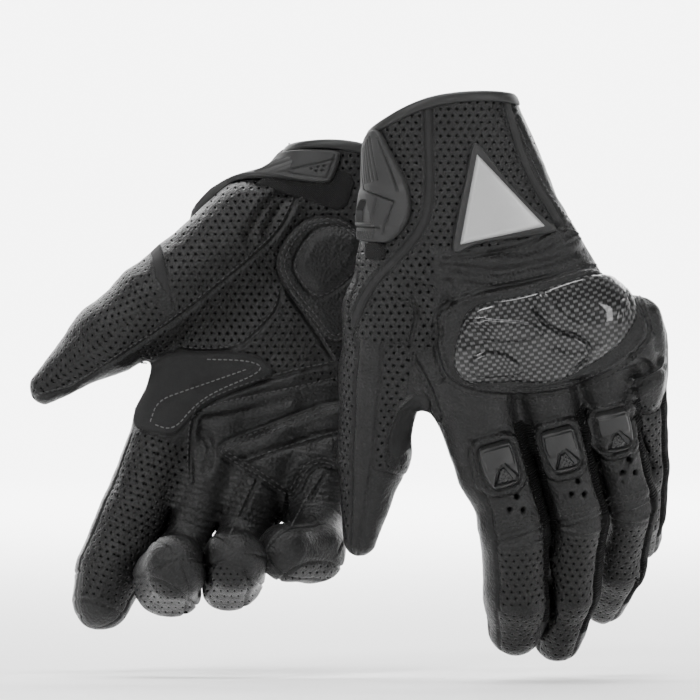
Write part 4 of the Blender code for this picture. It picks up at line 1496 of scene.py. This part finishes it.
def finger_settle(skin, finger, where, plain=True):
    """For a plate drawn on the back of a finger: mm round it and mm along it from that place."""
    def settle(flat):
        radius = float(np.interp(where, np.cumsum([0, *finger.lengths]), finger.radii))
        centres, ways = np.zeros((len(flat), 3)), np.zeros((len(flat), 3))
        for i, (a, t) in enumerate(flat):
            centres[i], ways[i] = finger.surface(where + t, math.degrees(a / radius))
        return skin.onto(centres, ways, plain)
    return settle


ARMOUR_OUTLINE = ((-5.2, -8.2), (5.0, -8.4), (6.6, -7.0), (6.9, 0.0), (6.2, 5.8), (4.6, 8.2), (-3.4, 8.4),
                  (-5.2, 6.6),
                  (-6.9, 0.0), (-6.7, -7.0))
ARMOUR_RECESS = ((-3.6, 7.0), (-1.2, 0.4), (1.4, -0.8), (5.4, 6.0), (4.0, 7.4))
ARMOUR_WEDGE = ((-2.8, 6.8), (-0.6, 1.6), (1.0, 1.2), (3.2, 6.4), (2.6, 7.0))


def armour_height(flat, depth):
    """A bevelled block whose upper part stands proud, over a recess with a dotted wedge in it."""
    rise = 1.7 + 1.5 * smooth(depth / 1.4)
    rise += 0.9 * smooth((2.5 - flat[:, 1]) / 3.0) * smooth((depth - 1.6) / 0.9)
    rise -= 1.9 * smooth(inside_distance(flat, np.array(ARMOUR_RECESS)) / 0.5 + 0.5)
    wedge = smooth(inside_distance(flat, np.array(ARMOUR_WEDGE)) / 0.5 + 0.5)
    rise += 1.2 * wedge
    dots = np.maximum(np.cos(flat[:, 0] * 3.9) * np.cos(flat[:, 1] * 3.4), 0.0) ** 3
    return rise - 0.7 * dots * wedge


def armour_pieces(skin):
    side = skin.side
    fine = ((44, 160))
    for name, (where, half) in ARMOUR.items():
        finger = skin.glove.fingers[name]
        outline = rounded(np.array(ARMOUR_OUTLINE) * (1.0, half / 8.4), closed=True, rounds=1)
        insert = relief(f"{side}_{name}_insert", outline, finger_settle(skin, finger, where), armour_height,
                        0.8, fine[0], fine[1], edge=0.7)
        add_piece(f"{side}_{name}_guard", insert.mesh(45.0), "armour", [f"{side}_{name}_armour"],
                  body=f"{side}_{name}_proximal")


THREAD_NODES = {"thread": "palm_shell", "dark_thread": "back_shell", "pale_thread": "crotch_patch"}


class Stitches:
    """Rows of stitches, gathered by the piece of skin they move with and the colour of the thread."""

    def __init__(self, skin):
        self.skin = skin
        self.rows = {}

    def owner(self, point):
        """The piece of skin under that point: its node, and the body or the blend that it moves with."""
        face = self.skin.tree.find_nearest(Vector(point))[2]
        _, _, node, body, blended = self.skin.pieces[self.skin.piece[face]]
        hand = f"{self.skin.side}_hand"
        return ("hand", hand, None) if body == hand else (node, body, blended)

    def along(self, settle, line, closed=False, thread="thread", pitch=STITCH_PITCH):
        fair = rounded(line, closed=closed)
        if closed:
            fair = np.concatenate([fair, fair[:1]])
        points, outs = settle(resample(fair, max(int(len(fair) * 6), 40), closed=False))
        run = np.concatenate([[0], np.cumsum(np.linalg.norm(np.diff(points, axis=0), axis=1))])
        count = int(run[-1] / pitch)
        for k in range(count):
            at = (k + 0.5) * pitch + STITCH_LENGTH * np.linspace(-0.5, 0.5, 4)
            path = np.stack([np.interp(at, run, points[:, i]) for i in range(3)], 1)
            out = np.stack([np.interp(at, run, outs[:, i]) for i in range(3)], 1)
            steep = np.linalg.norm(path[-1] - path[0]) > STITCH_STRETCH * STITCH_LENGTH
            if steep or np.linalg.norm(out[0]) < LEAST_NORMAL:
                continue
            lift = np.array(STITCH_LIFT)
            self.rows.setdefault((self.owner(path.mean(0)), thread), []).append(
                tube(path + out * lift[:, None], STITCH_RADIUS, sides=6, ups=out))

    def make(self):
        side = self.skin.side
        for ((label, body, blended), thread), parts in self.rows.items():
            name = f"{side}_{label}_{thread}"
            node = THREAD_NODES[thread] if label == "hand" else label
            add_piece(name, joined(name, parts).mesh(), thread, [f"{side}_{node}"], body, blended)


def seam_rows(line, offsets, closed=False):
    """The line drawn beside itself at those distances."""
    fair = rounded(line, closed=closed)
    ways = (np.roll(fair, -1, 0) - np.roll(fair, 1, 0)) if closed else np.gradient(fair, axis=0)
    normals = np.stack([ways[:, 1], -ways[:, 0]], 1)
    normals /= np.maximum(np.linalg.norm(normals, axis=1), 1e-9)[:, None]
    return [fair + normals * offset for offset in offsets]


def stitch_all(skin):
    made = Stitches(skin)
    glove = skin.glove

    def on_hand(back):
        def settle(flat):
            return skin.fall(from_reference(glove, flat, back), back)
        return settle
    back, palm = on_hand(True), on_hand(False)
    for line in seam_rows(GUARD_SEAM, (-1.7, 1.7), closed=True):
        made.along(back, line, closed=True, thread="dark_thread")
    for line, half in BACK_BANDS:
        for row in seam_rows(line, (-half - 1.0, half + 1.0)):
            made.along(back, row, thread="dark_thread")
    for line in BACK_SEAMS:
        made.along(back, seam_rows(line, (1.3,))[0], thread="dark_thread")
    for line in PALM_SEAMS:
        made.along(palm, seam_rows(line, (1.3,))[0])
    for by in PAD_ROWS:
        made.along(palm, shrunk(rounded(HEEL_PAD, closed=True), by), closed=True)
    made.along(palm, shrunk(rounded(HEEL_INNER, closed=True), 0.6), closed=True)
    for by in PAD_ROWS:
        made.along(palm, shrunk(rounded(PALM_PAD, closed=True), by), closed=True)
    made.along(palm, PALM_LINE)
    made.along(palm, PALM_UPPER)
    for line in CROTCH_STITCHES:
        made.along(palm, line, thread="pale_thread", pitch=PALE_PITCH)
    for name in NAMES:
        finger = glove.fingers[name]
        if name in ARMOUR:
            where, half = ARMOUR[name]
            settle = finger_settle(skin, finger, where, plain=False)
            ring = np.array(ARMOUR_OUTLINE) * (1.3, (half + 2.2) / 8.4)
            made.along(settle, ring, closed=True, thread="dark_thread")
            first = finger.lengths[0]
            if first - where > 12.0:
                low = first - where - JOINT_SEAM - 1.6
                for row in (low, low - 2.2):
                    made.along(settle, ((-8.0, row - 0.5), (0, row), (8.0, row - 0.5)), thread="dark_thread")
    made.make()


GLOVES = {side: Glove(side) for side in ("left", "right")}
SKINS = {side: Skin(side) for side in GLOVES}
for made_skin in SKINS.values():
    skin_pieces(made_skin)
    plates(made_skin)
    strap_pieces(made_skin)
    cuff_pieces(made_skin)
    armour_pieces(made_skin)
    stitch_all(made_skin)

# The plain pale sweep, the lights and the view.
FLOOR = -0.2302
VIEW_CENTRE = (-0.036, 0.0, -0.0972)
VIEW_WIDTH = 0.28
VIEW_AWAY = 3.2
ROOM = 6.2  # radius of the sweep
BEND = 1.0
WALL = 3.4


def finish_plain(name, colour, roughness):
    nodes = Nodes(name)
    return nodes.finish((*colour, 1.0), roughness)


def sweep():
    """A round floor that curves up into a wall, so that every view has it behind."""
    rows = [(0.02, 0.0), (1.5, 0.0), (ROOM - BEND, 0.0)]
    turns = np.linspace(0.15, math.pi / 2, 10)
    rows += [(ROOM - BEND + BEND * math.sin(a), BEND * (1 - math.cos(a))) for a in turns]
    rows.append((ROOM, WALL))
    sides = SWEEP_SIDES
    around = np.linspace(0.0, math.tau, sides, endpoint=False)
    verts = [(r * math.cos(a), r * math.sin(a), FLOOR + z) for r, z in rows for a in around]
    faces = [tuple(range(sides))]
    for i in range(len(rows) - 1):
        for s in range(sides):
            t = (s + 1) % sides
            faces.append((i * sides + s, (i + 1) * sides + s, (i + 1) * sides + t, i * sides + t))
    mesh = bpy.data.meshes.new("sweep")
    mesh.from_pydata(verts, [], faces)
    mesh.shade_smooth()
    mesh.materials.append(finish_plain("sweep", (0.97, 0.97, 0.97), 0.8))
    made = bpy.data.objects.new("sweep", mesh)
    bpy.context.scene.collection.objects.link(made)


def softbox(name, place, target, size, power):
    light = bpy.data.lights.new(name, "AREA")
    light.shape, light.size, light.size_y, light.energy = "RECTANGLE", size[0], size[1], power
    made = bpy.data.objects.new(name, light)
    made.location = place
    made.rotation_euler = (Vector(target) - Vector(place)).to_track_quat("-Z", "Y").to_euler()
    bpy.context.scene.collection.objects.link(made)


sweep()
MIDDLE = (-0.03, 0.04, -0.11)
softbox("key", (-0.75, -1.1, 0.85), MIDDLE, (0.5, 0.35), 20.0)
softbox("fill", (0.95, -1.0, 0.15), MIDDLE, (0.3, 0.7), 10.0)
softbox("top", (0.0, -0.1, 1.1), MIDDLE, (0.6, 0.3), 12.0)
softbox("backdrop", (0.0, 3.0, 3.0), (0.0, 5.4, 0.0), (3.2, 2.2), 900.0)
softbox("behind", (-1.2, 1.6, 1.3), MIDDLE, (1.0, 0.8), 22.0)
world = bpy.data.worlds.new("studio")
bpy.context.scene.world = world
world.use_nodes = True
world.node_tree.nodes["Background"].inputs[0].default_value = (1.0, 1.0, 1.0, 1.0)
world.node_tree.nodes["Background"].inputs[1].default_value = 0.22
camera_data = bpy.data.cameras.new("view")
camera_data.lens = camera_data.sensor_width * VIEW_AWAY / VIEW_WIDTH
camera_data.clip_end = 20.0
camera = bpy.data.objects.new("view", camera_data)
camera.location = (VIEW_CENTRE[0], -VIEW_AWAY, VIEW_CENTRE[2])
camera.rotation_euler = (math.pi / 2, 0.0, 0.0)
bpy.context.scene.collection.objects.link(camera)
bpy.context.scene.camera = camera
